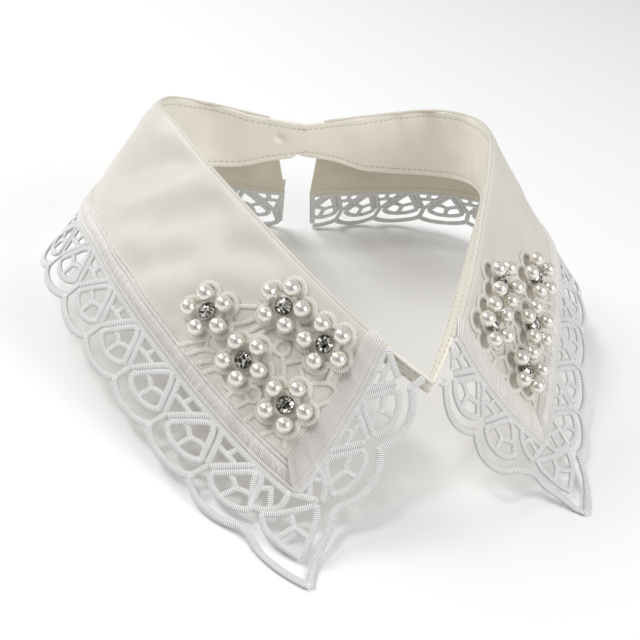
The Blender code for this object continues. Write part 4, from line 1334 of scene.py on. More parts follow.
@dataclass(frozen=True)
class StitchedBorder:
    """The band of satin stitch over the leaf's front and outer edges, with two fine lines inside it."""

    side: Side
    stitch: float = 0.65 * MM
    crest: float = 0.34 * MM
    fan: float = 14.0 * MM
    front_fan: float = 34.0 * MM
    front_share: float = 0.78
    brick: int = 8
    brick_split: float = 3.4 * MM
    brick_deep: float = 0.3 * MM
    start: float = 1.2 * MM
    end_gap: float = 0.3 * MM
    mitre_share: float = 0.93
    corner: float = 3.0 * MM
    uneven: float = 0.4
    sunk: float = 0.12 * MM
    blend: float = 7.0 * MM
    seed: int = 11
    # The band's section from the satin's edge in: inset in mm, then the height over the satin in mm and how
    # much of the stitches' relief shows, first along the outer edge and then down the front
    section: Rows = (
        (0.35, 0.0, 0.0, 0.0, 0.0),
        (0.5, 0.25, 0.6, 0.25, 0.6),
        (0.95, 0.42, 1.0, 0.4, 1.0),
        (1.35, 0.28, 0.8, 0.28, 0.8),
        (1.5, 0.1, 0.2, 0.16, 0.4),
        (1.7, 0.35, 0.8, 0.45, 0.9),
        (2.3, 0.62, 1.0, 0.66, 1.0),
        (3.4, 0.74, 1.0, 0.8, 1.0),
        (4.5, 0.62, 1.0, 0.86, 1.0),
        (5.0, 0.35, 0.8, 0.86, 1.0),
        (5.2, 0.1, 0.1, 0.84, 1.0),
        (5.35, 0.32, 0.8, 0.82, 1.0),
        (5.75, 0.48, 1.0, 0.78, 1.0),
        (6.15, 0.32, 0.8, 0.72, 1.0),
        (6.3, 0.07, 0.0, 0.68, 1.0),
        (6.7, 0.07, 0.0, 0.58, 1.0),
        (6.85, 0.3, 0.8, 0.52, 1.0),
        (7.2, 0.44, 1.0, 0.4, 0.9),
        (7.55, 0.3, 0.8, 0.22, 0.6),
        (7.7, 0.0, 0.0, 0.0, 0.0),
    )

    def build(self, finishes: Finishes) -> bpy.types.Object:
        """One grid from the fold down the front edge, round the point and along the outer edge.

        Columns stand every half stitch, a crest and a groove in turn. At the point they lie along the mitre,
        and they turn square to the edge as a falling exponential of the distance from it.
        """
        rng = self.side.dice(self.seed)
        inset, outer_height, outer_relief, front_height, front_relief = np.array(self.section).T[:, :, None]
        inset = inset * MM
        fold_front, ahead, inward = FORM.front_axes()
        point = np.array(FORM.point)
        front_length = np.linalg.norm(point - fold_front) - self.start
        outer_length = FORM.edge_length(self.side) - self.end_gap
        half_stitch = self.stitch / 2

        up = np.arange(0, front_length, half_stitch)[::-1][None, :]
        in_front = inset * self.front_share
        mitre = inset * self.mitre_share
        rise = up + mitre * np.exp(-up / self.front_fan)
        front_part = point - rise[..., None] * ahead + in_front[..., None] * inward

        on = np.arange(half_stitch, outer_length, half_stitch)[None, :]
        reach = on + in_front * np.exp(-on / self.fan)
        edge = FORM.edge_at(self.side, reach)
        outer_part = edge - np.stack([0 * reach, inset + 0 * reach], -1)
        corner = point - mitre[..., None] * ahead + in_front[..., None] * inward
        begun = FORM.edge_at(self.side, in_front) - np.stack([0 * inset, inset], -1)
        outer_part = outer_part + (corner - begun) * np.exp(-on / self.corner)[..., None]

        draft = np.concatenate([front_part, outer_part], 1)
        signed = np.concatenate([-up[0], on[0]])
        share = ease(0.5 - signed / (2 * self.blend))[None, :]
        height = (outer_height * (1 - share) + front_height * share) * MM
        relief = outer_relief * (1 - share) + front_relief * share
        number = np.arange(draft.shape[1])
        wave = np.where(number % 2 == 0, -0.5, 0.5) * self.crest
        uneven = 1 + self.uneven * rng.standard_normal(draft.shape[1])
        row_start = np.where(inset > self.brick_split, self.brick // 2, 0)
        joint = ((number[None, :] + row_start) % self.brick == 0) * (1 - share) * self.brick_deep
        lift = height + relief * ((wave * uneven)[None, :] - joint)
        lift = lift + FORM.cloth / 2 - np.where(outer_relief == 0, self.sunk * (height == 0), 0)
        points = FORM.lifted(satin_leaf, self.side, draft[..., 0], draft[..., 1], lift)

        rows, columns = points.shape[:2]
        quads = grid_quads(rows, columns)
        uv = np.stack([number[None, :] * STITCH_UV / 2 + 0 * inset, inset + 0 * height], -1).reshape(-1, 2)
        index = np.arange(rows * columns).reshape(rows, columns)
        under = np.stack([index[0, :-1], index[0, 1:], index[-1, 1:], index[-1, :-1]], -1)
        ends = np.stack([index[:, 0], index[::-1, -1]])
        piece = Piece("stitched_border_" + self.side.value)
        faces = [quads, under, ends]
        piece.add(points.reshape(-1, 3), faces, [uv[group] for group in faces])
        return piece.build([finishes.stitch])


@dataclass(frozen=True)
class LaceRun:
    """A length of edging: repeats along an edge of the satin, from one notch of its scallops to the next.

    at(distance) gives draft points of the edge at true distances. The lace hangs the out way from there, its
    depth changes evenly from the first notch to the last, and shear is how many repeats its upper edge lies
    ahead of its notches. Lean is how far its end comes back for each metre out, and linked is whether a bar
    joins each tooth to the scallops.
    """

    at: Callable[[Array], Array]
    notches: tuple[float, ...]
    end: float
    out: Array
    depths: tuple[float, float]
    shear: float
    bulge: float = 0.0
    lean: float = 0.0
    linked: bool = True

    @property
    def repeats(self) -> int:
        """How many scallops it holds."""
        return len(self.notches) - 1

    def spread(self, shape: Array, middle: float) -> tuple[Array, Array]:
        """True distances and depths of a shape whose points are in repeats and shares of the depth.

        Bulge swells the depth by a share that falls as the square of the distance from a scallop's middle.
        """
        across = shape[:, 0] + middle
        steps = across - self.shear * (1 - shape[:, 1])
        table = np.array(self.notches) * MM
        before = np.minimum(steps, 0) * (table[1] - table[0])
        past = np.maximum(steps - self.repeats, 0) * (table[-1] - table[-2])
        distance = np.interp(steps, np.arange(len(table)), table) + before + past
        share = np.clip(steps / self.repeats, 0, 1)
        depth = self.depths[0] + (self.depths[1] - self.depths[0]) * share
        off = np.mod(across, 1) - 0.5
        swell = 1 + self.bulge * np.maximum(1 - 3 * off**2, 0)
        return distance, shape[:, 1] * depth * swell

    def spot(self, notch: int, share: float) -> Array:
        """The draft place at a notch, a share of the depth out."""
        distance, out = self.spread(np.array([[0.0, share]]), notch)
        return self.at(distance)[0] + out[0] * self.out

    def place(self, shape: Array, middle: float, trim: float = 0.0) -> list[Array]:
        """The part of a line that lies between the run's ends less trim, or nothing where little is left."""
        distance, out = self.spread(np.asarray(shape, float), middle)
        kept = (distance <= self.end - trim - self.lean * out) & (distance >= trim)
        if kept.sum() < 4:
            return []
        return [self.at(distance[kept]) + out[kept, None] * self.out]


@dataclass(frozen=True)
class GuipureLace:
    """One side's edging of stitched cords: scallops outside, petals and teeth inside them, and a pointed
    motif at the leaf's point."""

    side: Side
    # Notches of the scallops, in mm along the edges from the leaf's point and from the fold, left and right
    outer_notches: tuple[tuple[float, ...], tuple[float, ...]] = (
        (7.1, 29.1, 51.4, 71.9, 90.3, 109.4, 128.6, 148.7, 168.8, 188.9, 209.1, 229.2, 249.4),
        (6.2, 24.6, 44.2, 62.8, 80.4, 98.7, 117.0, 135.3, 153.6, 171.9, 190.3, 208.6, 226.9),
    )
    front_notches: tuple[tuple[float, ...], tuple[float, ...]] = ((6.0, 27.6, 50.2), (4.6, 26.0, 46.4))
    depths: tuple[tuple[float, float], tuple[float, float]] = (
        (18.6 * MM, 20.4 * MM),
        (17.2 * MM, 18.8 * MM),
    )
    front_depths: tuple[tuple[float, float], tuple[float, float]] = (
        (10.4 * MM, 8.4 * MM),
        (12.4 * MM, 11.2 * MM),
    )
    shear: tuple[float, float] = (0.3, 0.1)
    front_shear: float = -0.11
    end_lean: tuple[float, float] = (0.0, 0.32)
    end_inset: float = 1.3 * MM
    end_reach: float = 0.95
    trim: float = 1.2 * MM
    heading: float = 0.045
    lifts: tuple[float, float, float] = (0.0, 0.05 * MM, -0.08 * MM)
    seed: int = 21
    front_bulge: float = 0.15
    tip: tuple[tuple[float, float], tuple[float, float]] = ((5.2 * MM, 77.2 * MM), (7.2 * MM, 78.6 * MM))
    arch: tuple[float, float] = (0.955, 0.185)
    edge_cord: CordSize = CordSize(2.7 * MM, 1.3 * MM, 0.62 * MM, 0.13)
    inner_cord: CordSize = CordSize(2.4 * MM, 1.15 * MM, 0.6 * MM, 0.13)
    bar: CordSize = CordSize(2.1 * MM, 0.95 * MM, 0.58 * MM, 0.13)
    # Lines of one repeat. Across is from the petal's middle, in repeats, and out is from the satin (0) to the
    # notch (1). The tooth's lines are about its own middle, which is at the notch
    petal_side: Rows = ((0, 0.09), (0.09, 0.18), (0.175, 0.31), (0.26, 0.46), (0.345, 0.61), (0.375, 0.66))
    petal_top: Rows = (
        *((-0.375, 0.66), (-0.3, 0.75), (-0.16, 0.82), (0, 0.84)),
        *((0.16, 0.82), (0.3, 0.75), (0.375, 0.66)),
    )
    petal_bars: tuple[Rows, ...] = (
        ((0, 0.55), (0, 0.82)),
        ((0, 0.55), (0.12, 0.48), (0.22, 0.46)),
        ((0, 0.55), (-0.12, 0.48), (-0.22, 0.46)),
    )
    tooth_side: Rows = ((0.345, 0.06), (0.27, 0.18), (0.19, 0.32), (0.11, 0.46), (0.035, 0.6))
    tooth_bars: tuple[Rows, ...] = (
        ((0, 0.08), (0, 0.27)),
        ((-0.2, 0.28), (0, 0.27), (0.2, 0.28)),
        ((0, 0.58), (0, 0.68), (0, 0.8), (0, 0.93)),
    )
    # Lines of the pointed motif, across toward the back and out toward the tip, in shares of its length
    tip_edges: tuple[Rows, ...] = (
        ((-0.33, 0.11), (-0.26, 0.32), (-0.17, 0.51), (-0.08, 0.74), (-0.01, 0.99)),
        ((0.45, 0.56), (0.36, 0.72), (0.23, 0.85), (0.11, 0.93), (-0.01, 0.99)),
    )
    tip_cords: tuple[Rows, ...] = (
        ((0.33, 0.30), (0.30, 0.43), (0.23, 0.52), (0.13, 0.58), (0.02, 0.64)),
        ((-0.20, 0.04), (-0.19, 0.15), (-0.14, 0.30), (-0.07, 0.47), (0.02, 0.64)),
        ((0.33, 0.30), (0.17, 0.24), (0.03, 0.17), (-0.10, 0.10), (-0.20, 0.04)),
        ((0.35, -0.15), (0.39, 0.0), (0.41, 0.15), (0.42, 0.26)),
        ((0.42, 0.26), (0.30, 0.25), (0.16, 0.18), (0.08, 0.06), (0.05, -0.03)),
        ((0.06, 0.0), (-0.07, -0.01), (-0.21, -0.01)),
        ((-0.23, -0.40), (-0.29, -0.30), (-0.30, -0.15), (-0.26, -0.02)),
    )
    tip_bars: tuple[Rows, ...] = (
        ((0.03, 0.33), (0.05, 0.20)),
        ((0.03, 0.33), (0.21, 0.51)),
        ((0.03, 0.33), (-0.09, 0.40)),
        ((0.36, 0.05), (0.20, 0.0)),
        ((0.22, 0.02), (0.24, 0.2)),
        ((-0.10, -0.20), (-0.29, -0.24)),
        ((-0.17, -0.21), (-0.14, -0.03)),
    )

    def runs(self) -> tuple[LaceRun, LaceRun]:
        """The front edge's length of lace, and the outer edge's."""
        start, ahead, inward = FORM.front_axes()
        front = LaceRun(
            lambda distance: start + distance[..., None] * ahead,
            FORM.of(self.front_notches, self.side),
            float(np.linalg.norm(np.array(FORM.point) - start)),
            -inward,
            FORM.of(self.front_depths, self.side),
            self.front_shear,
            self.front_bulge,
            linked=False,
        )
        chord = FORM.outer_edge(self.side, 1.0) - np.array(FORM.point)
        outer = LaceRun(
            lambda distance: FORM.edge_at(self.side, distance),
            FORM.of(self.outer_notches, self.side),
            FORM.edge_length(self.side),
            unit(np.array([-chord[1], chord[0]])),
            FORM.of(self.depths, self.side),
            FORM.of(self.shear, self.side),
            lean=FORM.of(self.end_lean, self.side),
        )
        return front, outer

    @staticmethod
    def mirrored(line: Rows) -> list[Array]:
        """A line and its mirror image across the motif's middle."""
        shape = rounded(line)
        return [shape, shape * np.array([-1.0, 1.0])]

    def repeat_lines(self, run: LaceRun, teeth: Sequence[int], first: int) -> tuple[list, list, list]:
        """Every scallop, petal, tooth and bar of a run.

        A scallop's middle line is its notches' depth plus a share times one minus the square of the distance
        across, to the power 0.7.

        Args:
            run: the run.
            teeth: the notches that have a tooth.
            first: the first scallop, -1 where a part of one is in front of the first notch.

        Returns:
            Draft lines of the edge cords, the inner cords and the bars.
        """
        edges: list[Array] = []
        inner: list[Array] = []
        bars: list[Array] = []
        trim = self.trim
        across = np.linspace(-0.5, 0.5, 25)
        notch, rise = self.arch
        arch = np.stack([across, notch + rise * np.maximum(1 - 4 * across**2, 0) ** 0.7], 1)
        for k in range(first, run.repeats):
            edges += run.place(arch, k + 0.5, trim)
        for k in range(run.repeats):
            for shape in (*self.mirrored(self.petal_side), rounded(self.petal_top)):
                inner += run.place(shape, k + 0.5, trim)
            for line in self.petal_bars:
                bars += run.place(rounded(line), k + 0.5, 2 * trim)
        for k in teeth:
            for shape in self.mirrored(self.tooth_side):
                inner += run.place(shape, k, trim)
            for line in self.tooth_bars[: 3 if run.linked else 2]:
                bars += run.place(rounded(line), k, trim)
        steps = np.linspace(-0.5, run.repeats + 0.5, 240)
        inner += run.place(np.stack([steps, 0 * steps + self.heading], 1), 0.0, trim)
        return edges, inner, bars

    def build(self, finishes: Finishes) -> bpy.types.Object:
        """Lays every cord on the carried-on surface of the leaf."""
        front, outer = self.runs()
        in_front = self.repeat_lines(front, range(front.repeats), -1)
        outside = self.repeat_lines(outer, range(1, outer.repeats + 1), 0)
        edges, inner, bars = (first + second for first, second in zip(in_front, outside))
        down = np.linspace(0.0, self.end_reach * self.depths[0][1], 9)[:, None]
        end = outer.end - self.end_inset - outer.lean * down[:, 0]
        inner.append(outer.at(end) + down * outer.out)
        point = np.array(FORM.point)
        toward = np.array(FORM.of(self.tip, self.side)) - point
        length = np.linalg.norm(toward)
        toward = toward / length
        axes = np.stack([np.array([toward[1], -toward[0]]), toward]) * length
        joints = front.spot(front.repeats, self.arch[0]), outer.spot(0, self.arch[0])
        for joint, line in zip(joints, self.tip_edges):
            edges.append(rounded([joint, *(point + np.array(line) @ axes)]))
        inner += [point + rounded(line) @ axes for line in self.tip_cords]
        bars += [point + rounded(line) @ axes for line in self.tip_bars]
        rng = self.side.dice(self.seed)
        piece = Piece("guipure_lace_" + self.side.value)
        sizes = (self.edge_cord, self.inner_cord, self.bar)
        for lines, size, lift in zip((edges, inner, bars), sizes, self.lifts):
            add_cords(piece, FORM.edging, self.side, lines, size, lift, rng)
        return piece.build([finishes.lace])


# The beaded flowers: place of each centre in mm, and the turn of its first pearl in degrees
FLOWERS: Rows = (
    (61.1, 33.3, 33),
    (43.3, 13.7, 71),
    (44.9, 35.2, 48),
    (29.1, 13.2, 30),
    (29.8, 35.9, 58),
)
PEARLS = 5
PEARL_RING = 6.15 * MM


@dataclass(frozen=True)
class StitchedLattice:
    """The embroidered ground under the beads: stitched arcs round the pearls, eyelets and bars."""

    side: Side
    arc_radius: float = 3.45 * MM
    arc_half: float = math.radians(118)
    arc_cord: CordSize = CordSize(2.2 * MM, 1.0 * MM, 0.62 * MM, 0.16)
    bar_cord: CordSize = CordSize(1.85 * MM, 0.95 * MM, 0.58 * MM, 0.14)
    lifts: tuple[float, float, float] = (0.25 * MM, 0.12 * MM, 0.2 * MM)
    seed: int = 31
    eyelet_radius: float = 2.3 * MM
    eyelets: Rows = ((38.4, 23.8), (38.3, 40.8))
    window: Rows = ((27.5, 26.4), (25.9, 23.6), (23.4, 21.8), (21.6, 22.5), (21.8, 25.3), (24.8, 30.5))
    bars: tuple[Rows, ...] = (
        ((55.6, 25.4), (50.4, 20.6)),
        ((53.9, 30.5), (51.2, 27.4), (49.1, 23.9)),
        ((51.8, 33.0), (48.9, 28.6), (46.4, 23.7), (44.2, 21.2)),
        ((48.1, 29.7), (45.2, 25.4), (44.8, 22.4)),
        ((37.4, 25.4), (35.6, 27.3), (34.1, 30.2)),
        ((35.4, 26.2), (32.2, 22.0)),
        ((32.2, 23.8), (29.9, 26.3)),
        ((41.8, 28.2), (38.4, 30.2), (37.2, 32.4)),
        ((38.4, 17.4), (36.3, 19.2)),
        ((24.7, 18.4), (24.8, 22.3)),
        ((22.6, 15.0), (19.4, 14.4)),
        ((64.0, 48.8), (58.4, 41.0)),
        ((60.2, 48.6), (57.8, 44.6), (55.9, 42.2), (53.4, 40.6)),
        ((56.3, 47.9), (52.9, 43.4)),
        ((52.9, 48.2), (50.9, 44.7), (48.6, 43.1)),
        ((57.9, 39.4), (56.1, 42.6)),
        ((48.4, 44.8), (45.3, 45.6), (41.9, 44.3), (40.4, 42.6)),
        ((40.1, 47.9), (38.8, 44.6), (38.1, 43.0)),
        ((43.4, 45.4), (43.6, 48.0)),
        ((36.2, 48.7), (35.2, 45.0)),
        ((31.2, 48.4), (29.4, 44.6)),
        ((26.8, 43.0), (25.2, 46.4)),
        ((23.3, 35.0), (21.6, 32.8)),
    )

    def build(self, finishes: Finishes) -> bpy.types.Object:
        """Arcs are parts of a circle round each pearl's foot, open toward the flower's stone."""
        arcs: list[Array] = []
        angle = np.linspace(-self.arc_half, self.arc_half, 33)
        for along, down, turn in FLOWERS:
            for k in range(PEARLS):
                way = math.radians(turn) + k * 2 * math.pi / PEARLS
                x = PEARL_RING * math.cos(way) + self.arc_radius * np.cos(angle + way)
                y = PEARL_RING * math.sin(way) + self.arc_radius * np.sin(angle + way)
                arcs.append(FORM.spread(self.side, along * MM, down * MM, x, y))
        around = np.linspace(0, 2 * math.pi, 33)
        x = self.eyelet_radius * np.cos(around)
        y = self.eyelet_radius * np.sin(around)
        x[-1], y[-1] = x[0], y[0]
        loops = [FORM.spread(self.side, along * MM, down * MM, x, y) for along, down in self.eyelets]
        loops.append(rounded(self.window, closed=True) * MM)
        bars = [rounded(line) * MM for line in self.bars]
        rng = self.side.dice(self.seed)
        piece = Piece("stitched_lattice_" + self.side.value)
        sizes = (self.arc_cord, self.bar_cord, self.bar_cord)
        for lines, size, lift in zip((arcs, bars, loops), sizes, self.lifts):
            add_cords(piece, satin_leaf, self.side, lines, size, FORM.cloth / 2 + lift, rng)
        return piece.build([finishes.lattice])


@dataclass(frozen=True)
class BeadedFlower:
    """Five sewn pearls round one claw-set stone, on a small stitched ground."""

    side: Side
    number: int
    along: float
    down: float
    turn: float
    pearl: float = 2.75 * MM
    pearl_middle: float = 4.75 * MM
    stone: float = 2.62 * MM
    stone_seat: float = 3.3 * MM
    # The stone's rings from its table down: radius in shares of the stone's, and height in mm
    stone_radii: tuple[float, ...] = (0.50, 0.76, 1.0, 1.0, 0.6)
    stone_heights: tuple[float, ...] = (1.28, 0.98, 0.45, 0.25, 0.0)
    facets: int = 8
    claws: int = 4
    claw_up: float = 0.55 * MM
    claw_in: float = 0.12 * MM
    claw_lean: tuple[float, float] = (0.75, 0.66)
    cup_down: float = 1.25 * MM
    sunk: float = 0.1 * MM
    seed: int = 100
    right_seed: int = 50
    # Sections in mm: the setting's cup under the stone, and the stitched ground
    cup: Rows = (
        *((0, 0.0), (1.9, 0.0), (2.2, 0.5), (2.75, 1.0)),
        *((2.95, 1.5), (2.75, 1.62), (2.55, 1.2), (0, 1.0)),
    )
    ground: Rows = ((0, 0.0), (4.0, 0.0), (4.3, 0.4), (3.6, 0.95), (2.0, 1.25), (0, 1.3))

    def axes_at(self, along: float, down: float) -> tuple[Array, Array]:
        """The satin's point at a draft place, and axes there: along the fold, down the leaf, and out."""
        spot = np.array([along]), np.array([down])
        point = satin_leaf(self.side, *spot)[0]
        out = FORM.normal(satin_leaf, self.side, *spot)[0]
        ahead = satin_leaf(self.side, spot[0] + FORM.nudge, spot[1])[0] - point
        ahead = unit(ahead - out * (ahead @ out))
        return point, np.stack([ahead, np.cross(out, ahead), out])

    def add_stone(self, piece: Piece, point: Array, axes: Array, rng: np.random.Generator) -> None:
        """A round cut: a table, a ring of kites and a ring of girdle facets, each with its own painted
        reflection brightness.
        """
        n = self.facets
        turn = np.arange(n) * 2 * math.pi / n
        half = turn + math.pi / n
        radius = np.array(self.stone_radii) * self.stone
        height = np.array(self.stone_heights) * MM
        both = np.sort(np.concatenate([turn, half]))
        rings = [
            np.stack([r * np.cos(a), r * np.sin(a), np.full(len(a), z)], -1)
            for r, z, a in zip(radius, height, (turn, half, both, both, both))
        ]
        local = np.concatenate([*rings, [[0, 0, height[0]], [0, 0, height[-1]]]])
        first = np.cumsum([0, *(len(ring) for ring in rings)])
        k = np.arange(n)
        nxt = (k + 1) % n
        table, star, girdle, lower, back = first[:5]
        top, bottom = first[5], first[5] + 1
        two, three = girdle + 2 * k, girdle + (2 * k + 1) % (2 * n)
        four = girdle + (2 * k + 2) % (2 * n)
        tris = np.concatenate(
            [
                np.stack([np.full(n, top), table + k, table + nxt], -1),
                np.stack([table + k, star + k, table + nxt], -1),
                np.stack([table + k, two, star + k], -1),
                np.stack([table + nxt, star + k, four], -1),
                np.stack([star + k, two, three], -1),
                np.stack([star + k, three, four], -1),
            ]
        )
        m = np.arange(2 * n)
        mext = (m + 1) % (2 * n)
        quads = np.concatenate(
            [
                np.stack([girdle + m, lower + m, lower + mext, girdle + mext], -1),
                np.stack([lower + m, back + m, back + mext, lower + mext], -1),
            ]
        )
        under = np.stack([np.full(2 * n, bottom), back + mext, back + m], -1)
        tris = np.concatenate([tris, under])
        origin = point + axes[2] * self.stone_seat
        points = origin + local @ axes
        # A random painted reflection for each facet
        tones = rng.random(len(tris) + len(quads))
        faces = [tris, quads]
        corners = [local[group][..., :2] for group in faces]
        piece.add(points, faces, corners, 1, flat=True, tones=tones)

    def add_claws(self, piece: Piece, point: Array, axes: Array) -> None:
        """Bent prongs over the stone's girdle: short beaded wires leaning in."""
        claw = Lathe(((0, -0.55), (0.34, -0.45), (0.42, 0.0), (0.38, 0.45), (0.2, 0.7), (0, 0.76)), 8)
        for k in range(self.claws):
            way = math.radians(self.turn) + (k + 0.5) * 2 * math.pi / self.claws
            radial = axes[0] * math.cos(way) + axes[1] * math.sin(way)
            up = unit(axes[2] * self.claw_lean[0] - radial * self.claw_lean[1])
            side_way = unit(np.cross(up, radial))
            frame_rows = np.stack([np.cross(side_way, up), side_way, up])
            origin = point + axes[2] * (self.stone_seat + self.claw_up) + radial * (self.stone - self.claw_in)
            claw.add(piece, origin, frame_rows, 2, MM)

    def build(self, finishes: Finishes) -> bpy.types.Object:
        """Pearls stand on the satin at even turns, each along the cloth's normal at its own foot."""
        rng = np.random.default_rng(self.seed + self.number + self.right_seed * (self.side is Side.RIGHT))
        piece = Piece(f"beaded_flower_{self.side.value}_{self.number}")
        point, axes = self.axes_at(self.along, self.down)
        pearl = Lathe(ball_section(16), 28)
        for k in range(PEARLS):
            way = math.radians(self.turn) + k * 2 * math.pi / PEARLS
            x = np.array([PEARL_RING * math.cos(way)])
            y = np.array([PEARL_RING * math.sin(way)])
            spot = FORM.spread(self.side, self.along, self.down, x, y)[0]
            foot, at = self.axes_at(*spot)
            pearl.add(piece, foot + at[2] * self.pearl_middle, at, 0, self.pearl)
        self.add_stone(piece, point, axes, rng)
        cup = Lathe(self.cup, 24)
        cup.add(piece, point + axes[2] * (self.stone_seat - self.cup_down), axes, 2, MM)
        self.add_claws(piece, point, axes)
        Lathe(self.ground, 30).add(piece, point + axes[2] * (FORM.cloth / 2 - self.sunk), axes, 3, MM)
        return piece.build([finishes.pearl, finishes.stone, finishes.setting, finishes.lattice])


@dataclass(frozen=True)
class BackButton:
    """The small button over the right tab at the back: a dished disc with a rim and four holes."""

    along: float = 188.0 * MM
    down: float = 8.0 * MM
    radius: float = 4.0 * MM
    hole_ring: float = 1.05 * MM
    hole: float = 0.42 * MM
    holes: int = 4
    hole_deep: float = 0.9 * MM
    dish: float = 2.2 * MM
    sides: int = 48
    section: Rows = ((0.0, 1.35), (2.2, 1.35), (2.8, 1.9), (3.45, 1.9), (4.0, 1.3), (4.0, 0.5), (3.4, 0.0))

    def build(self, finishes: Finishes) -> bpy.types.Object:
        """The section turned round its axis, less a smooth pit of each hole in the dish."""
        table = np.array(self.section) * MM
        rim = np.array([2.5, 2.8, 3.1, 3.45, 3.75, 4.0]) * MM
        reach = np.concatenate([np.linspace(0, self.dish, 23)[1:], rim])
        angle = np.arange(self.sides) * 2 * math.pi / self.sides
        r, a = np.meshgrid(reach, angle, indexing="ij")
        height = np.interp(r, table[:5, 0], table[:5, 1])
        x, y = r * np.cos(a), r * np.sin(a)
        for k in range(self.holes):
            way = math.pi / 4 + k * 2 * math.pi / self.holes
            away = np.hypot(x - self.hole_ring * math.cos(way), y - self.hole_ring * math.sin(way))
            height = height - self.hole_deep / (1 + (away / self.hole) ** 6)
        upper = np.stack([x, y, height], -1)
        lower = [
            np.stack([q * np.cos(angle), q * np.sin(angle), np.full(self.sides, z)], -1)
            for q, z in ((self.radius, table[5, 1]), (table[6, 0], 0.0))
        ]
        rings = np.concatenate([upper, np.stack(lower)])
        local = np.concatenate([rings.reshape(-1, 3), [[0, 0, table[0, 1]], [0, 0, 0]]])
        along = np.array([2 * FORM.half_neck - self.along])
        down = np.array([self.down])
        out = FORM.normal(FORM.stand, Side.RIGHT, along, down)[0]
        seat_point = FORM.stand(Side.RIGHT, along, down)[0] + out * (FORM.cloth / 2 + 0.1 * MM)
        ahead = unit(np.cross(np.array([0.0, 0.0, 1.0]), out))
        axes = np.stack([ahead, np.cross(out, ahead), out])
        piece = Piece("shirt_button")
        faces = ring_faces(*rings.shape[:2])
        piece.add(seat_point + local @ axes, faces, [local[group][..., :2] for group in faces])
        return piece.build([finishes.button])


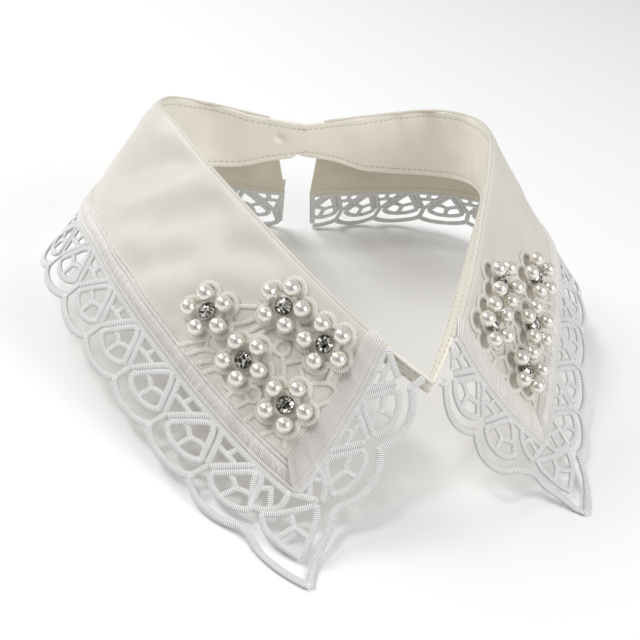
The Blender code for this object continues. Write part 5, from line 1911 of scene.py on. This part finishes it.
@dataclass(frozen=True)
class Studio:
    """Pale floor, soft light and the camera at the photograph's angle."""

    eye: tuple[float, float, float] = (-0.14000711, -0.25593885, 0.23500282)
    aim: tuple[float, float, float] = (-0.0003315, 0.02169479, 0.00036702)
    tilt: float = math.radians(11.479)
    lens: float = 55.11
    floor_size: float = 6.0
    card_size: tuple[float, float] = (0.30, 0.16)
    card_back: float = 0.02
    card_down: float = 0.5
    surroundings: float = 0.4
    # Each light's name, place, size in metres and power in watts
    lights: tuple[tuple[str, tuple[float, float, float], float, float], ...] = (
        ("top", (-0.55, 0.6, 0.8), 0.6, 5.8),
        ("key", (0.55, -0.7, 0.6), 0.7, 5.0),
        ("spark", (-0.42, 0.0, 0.8), 0.16, 1.6),
    )
    light_aim: tuple[float, float, float] = (0.0, 0.0, 0.03)

    def add_camera(self) -> None:
        """A camera that looks from eye to aim, turned about its line of sight by tilt."""
        back = unit(np.array(self.eye) - np.array(self.aim))
        level = unit(np.cross([0, 0, 1], back))
        up = np.cross(back, level)
        right = level * math.cos(self.tilt) + up * math.sin(self.tilt)
        turned_up = np.cross(back, right)
        data = bpy.data.cameras.new("camera")
        data.lens = self.lens
        data.sensor_width = 36.0
        data.clip_start = 0.01
        camera = bpy.data.objects.new("camera", data)
        matrix = Matrix(np.stack([right, turned_up, back], 1).tolist()).to_4x4()
        matrix.translation = Vector(self.eye)
        camera.matrix_world = matrix
        bpy.context.scene.collection.objects.link(camera)
        bpy.context.scene.camera = camera

    def add_plane(self, corners: Sequence[Sequence[float]], finish: PlainFinish) -> bpy.types.Object:
        """A plane that is named after its finish."""
        mesh = bpy.data.meshes.new(finish.name)
        mesh.from_pydata([list(map(float, corner)) for corner in corners], [], [(0, 1, 2, 3)])
        mesh.materials.append(finish.material())
        plane = bpy.data.objects.new(finish.name, mesh)
        bpy.context.scene.collection.objects.link(plane)
        return plane

    def add_floor(self) -> None:
        """A plain white plane under the collar."""
        half = self.floor_size / 2
        corners = ((-half, -half, 0), (half, -half, 0), (half, half, 0), (-half, half, 0))
        floor = self.add_plane(corners, PlainFinish("studio_floor", (0.97, 0.97, 0.97)))

    def add_card(self) -> None:
        """A dark card behind the camera, which the pearls mirror low in their middles."""
        back = unit(np.array(self.eye) - np.array(self.aim))
        level = unit(np.cross([0, 0, 1], back)) * self.card_size[0] / 2
        up = unit(np.cross(back, level)) * self.card_size[1] / 2
        middle = np.array(self.eye) + back * self.card_back - up * self.card_down
        corners = [middle + level * i + up * j for i, j in ((-1, -1), (1, -1), (1, 1), (-1, 1))]
        card = self.add_plane(corners, PlainFinish("dark_card", (0.03, 0.03, 0.03)))
        card.visible_camera = False

    def add_area(self, name: str, place: Sequence[float], size: float, power: float) -> None:
        """A square soft light aimed at the collar."""
        data = bpy.data.lights.new(name, "AREA")
        data.size = size
        data.energy = power
        light = bpy.data.objects.new(name, data)
        light.location = place
        aim = Vector(self.light_aim) - Vector(place)
        light.rotation_euler = aim.to_track_quat("-Z", "Y").to_euler()
        bpy.context.scene.collection.objects.link(light)

    def build(self) -> None:
        """Pale surroundings, a light behind, a soft key from the front right and a small one upper left."""
        world = bpy.data.worlds.new("studio")
        world.use_nodes = True
        background = world.node_tree.nodes["Background"]
        background.inputs["Color"].default_value = (1.0, 1.0, 1.0, 1.0)
        background.inputs["Strength"].default_value = self.surroundings
        bpy.context.scene.world = world
        bpy.context.scene.view_settings.view_transform = "Standard"
        self.add_camera()
        self.add_floor()
        for light in self.lights:
            self.add_area(*light)
        self.add_card()


def main() -> None:
    """Builds every piece in order, seats it on the collar and sets the studio round it."""
    logging.basicConfig(level=logging.INFO, format="%(name)s: %(message)s")
    finishes = Finishes.make()
    Studio().build()
    stand = seat(NeckStand().build(finishes), Slot.SATIN, "stand")
    button = seat(BackButton().build(finishes), Slot.BUTTON, "back_button")
    for side in Side:
        leaf = seat(SatinLeaf(side).build(finishes), Slot.SATIN, "leaf_" + side.value)
        border = seat(StitchedBorder(side).build(finishes), Slot.STITCH, "border_" + side.value)
        lattice = seat(StitchedLattice(side).build(finishes), Slot.STITCH, "applique_" + side.value)
        lace = seat(GuipureLace(side).build(finishes), Slot.LACE, "lace_" + side.value)
        for number, (along, down, turn) in enumerate(FLOWERS, 1):
            flower = BeadedFlower(side, number, along * MM, down * MM, turn).build(finishes)
            seat(flower, Slot.PEARL, f"flower_{side.value}_{number}")
        length = FORM.edge_length(side)
    log.info("all pieces are seated")


if __name__ == "__main__":
    main()
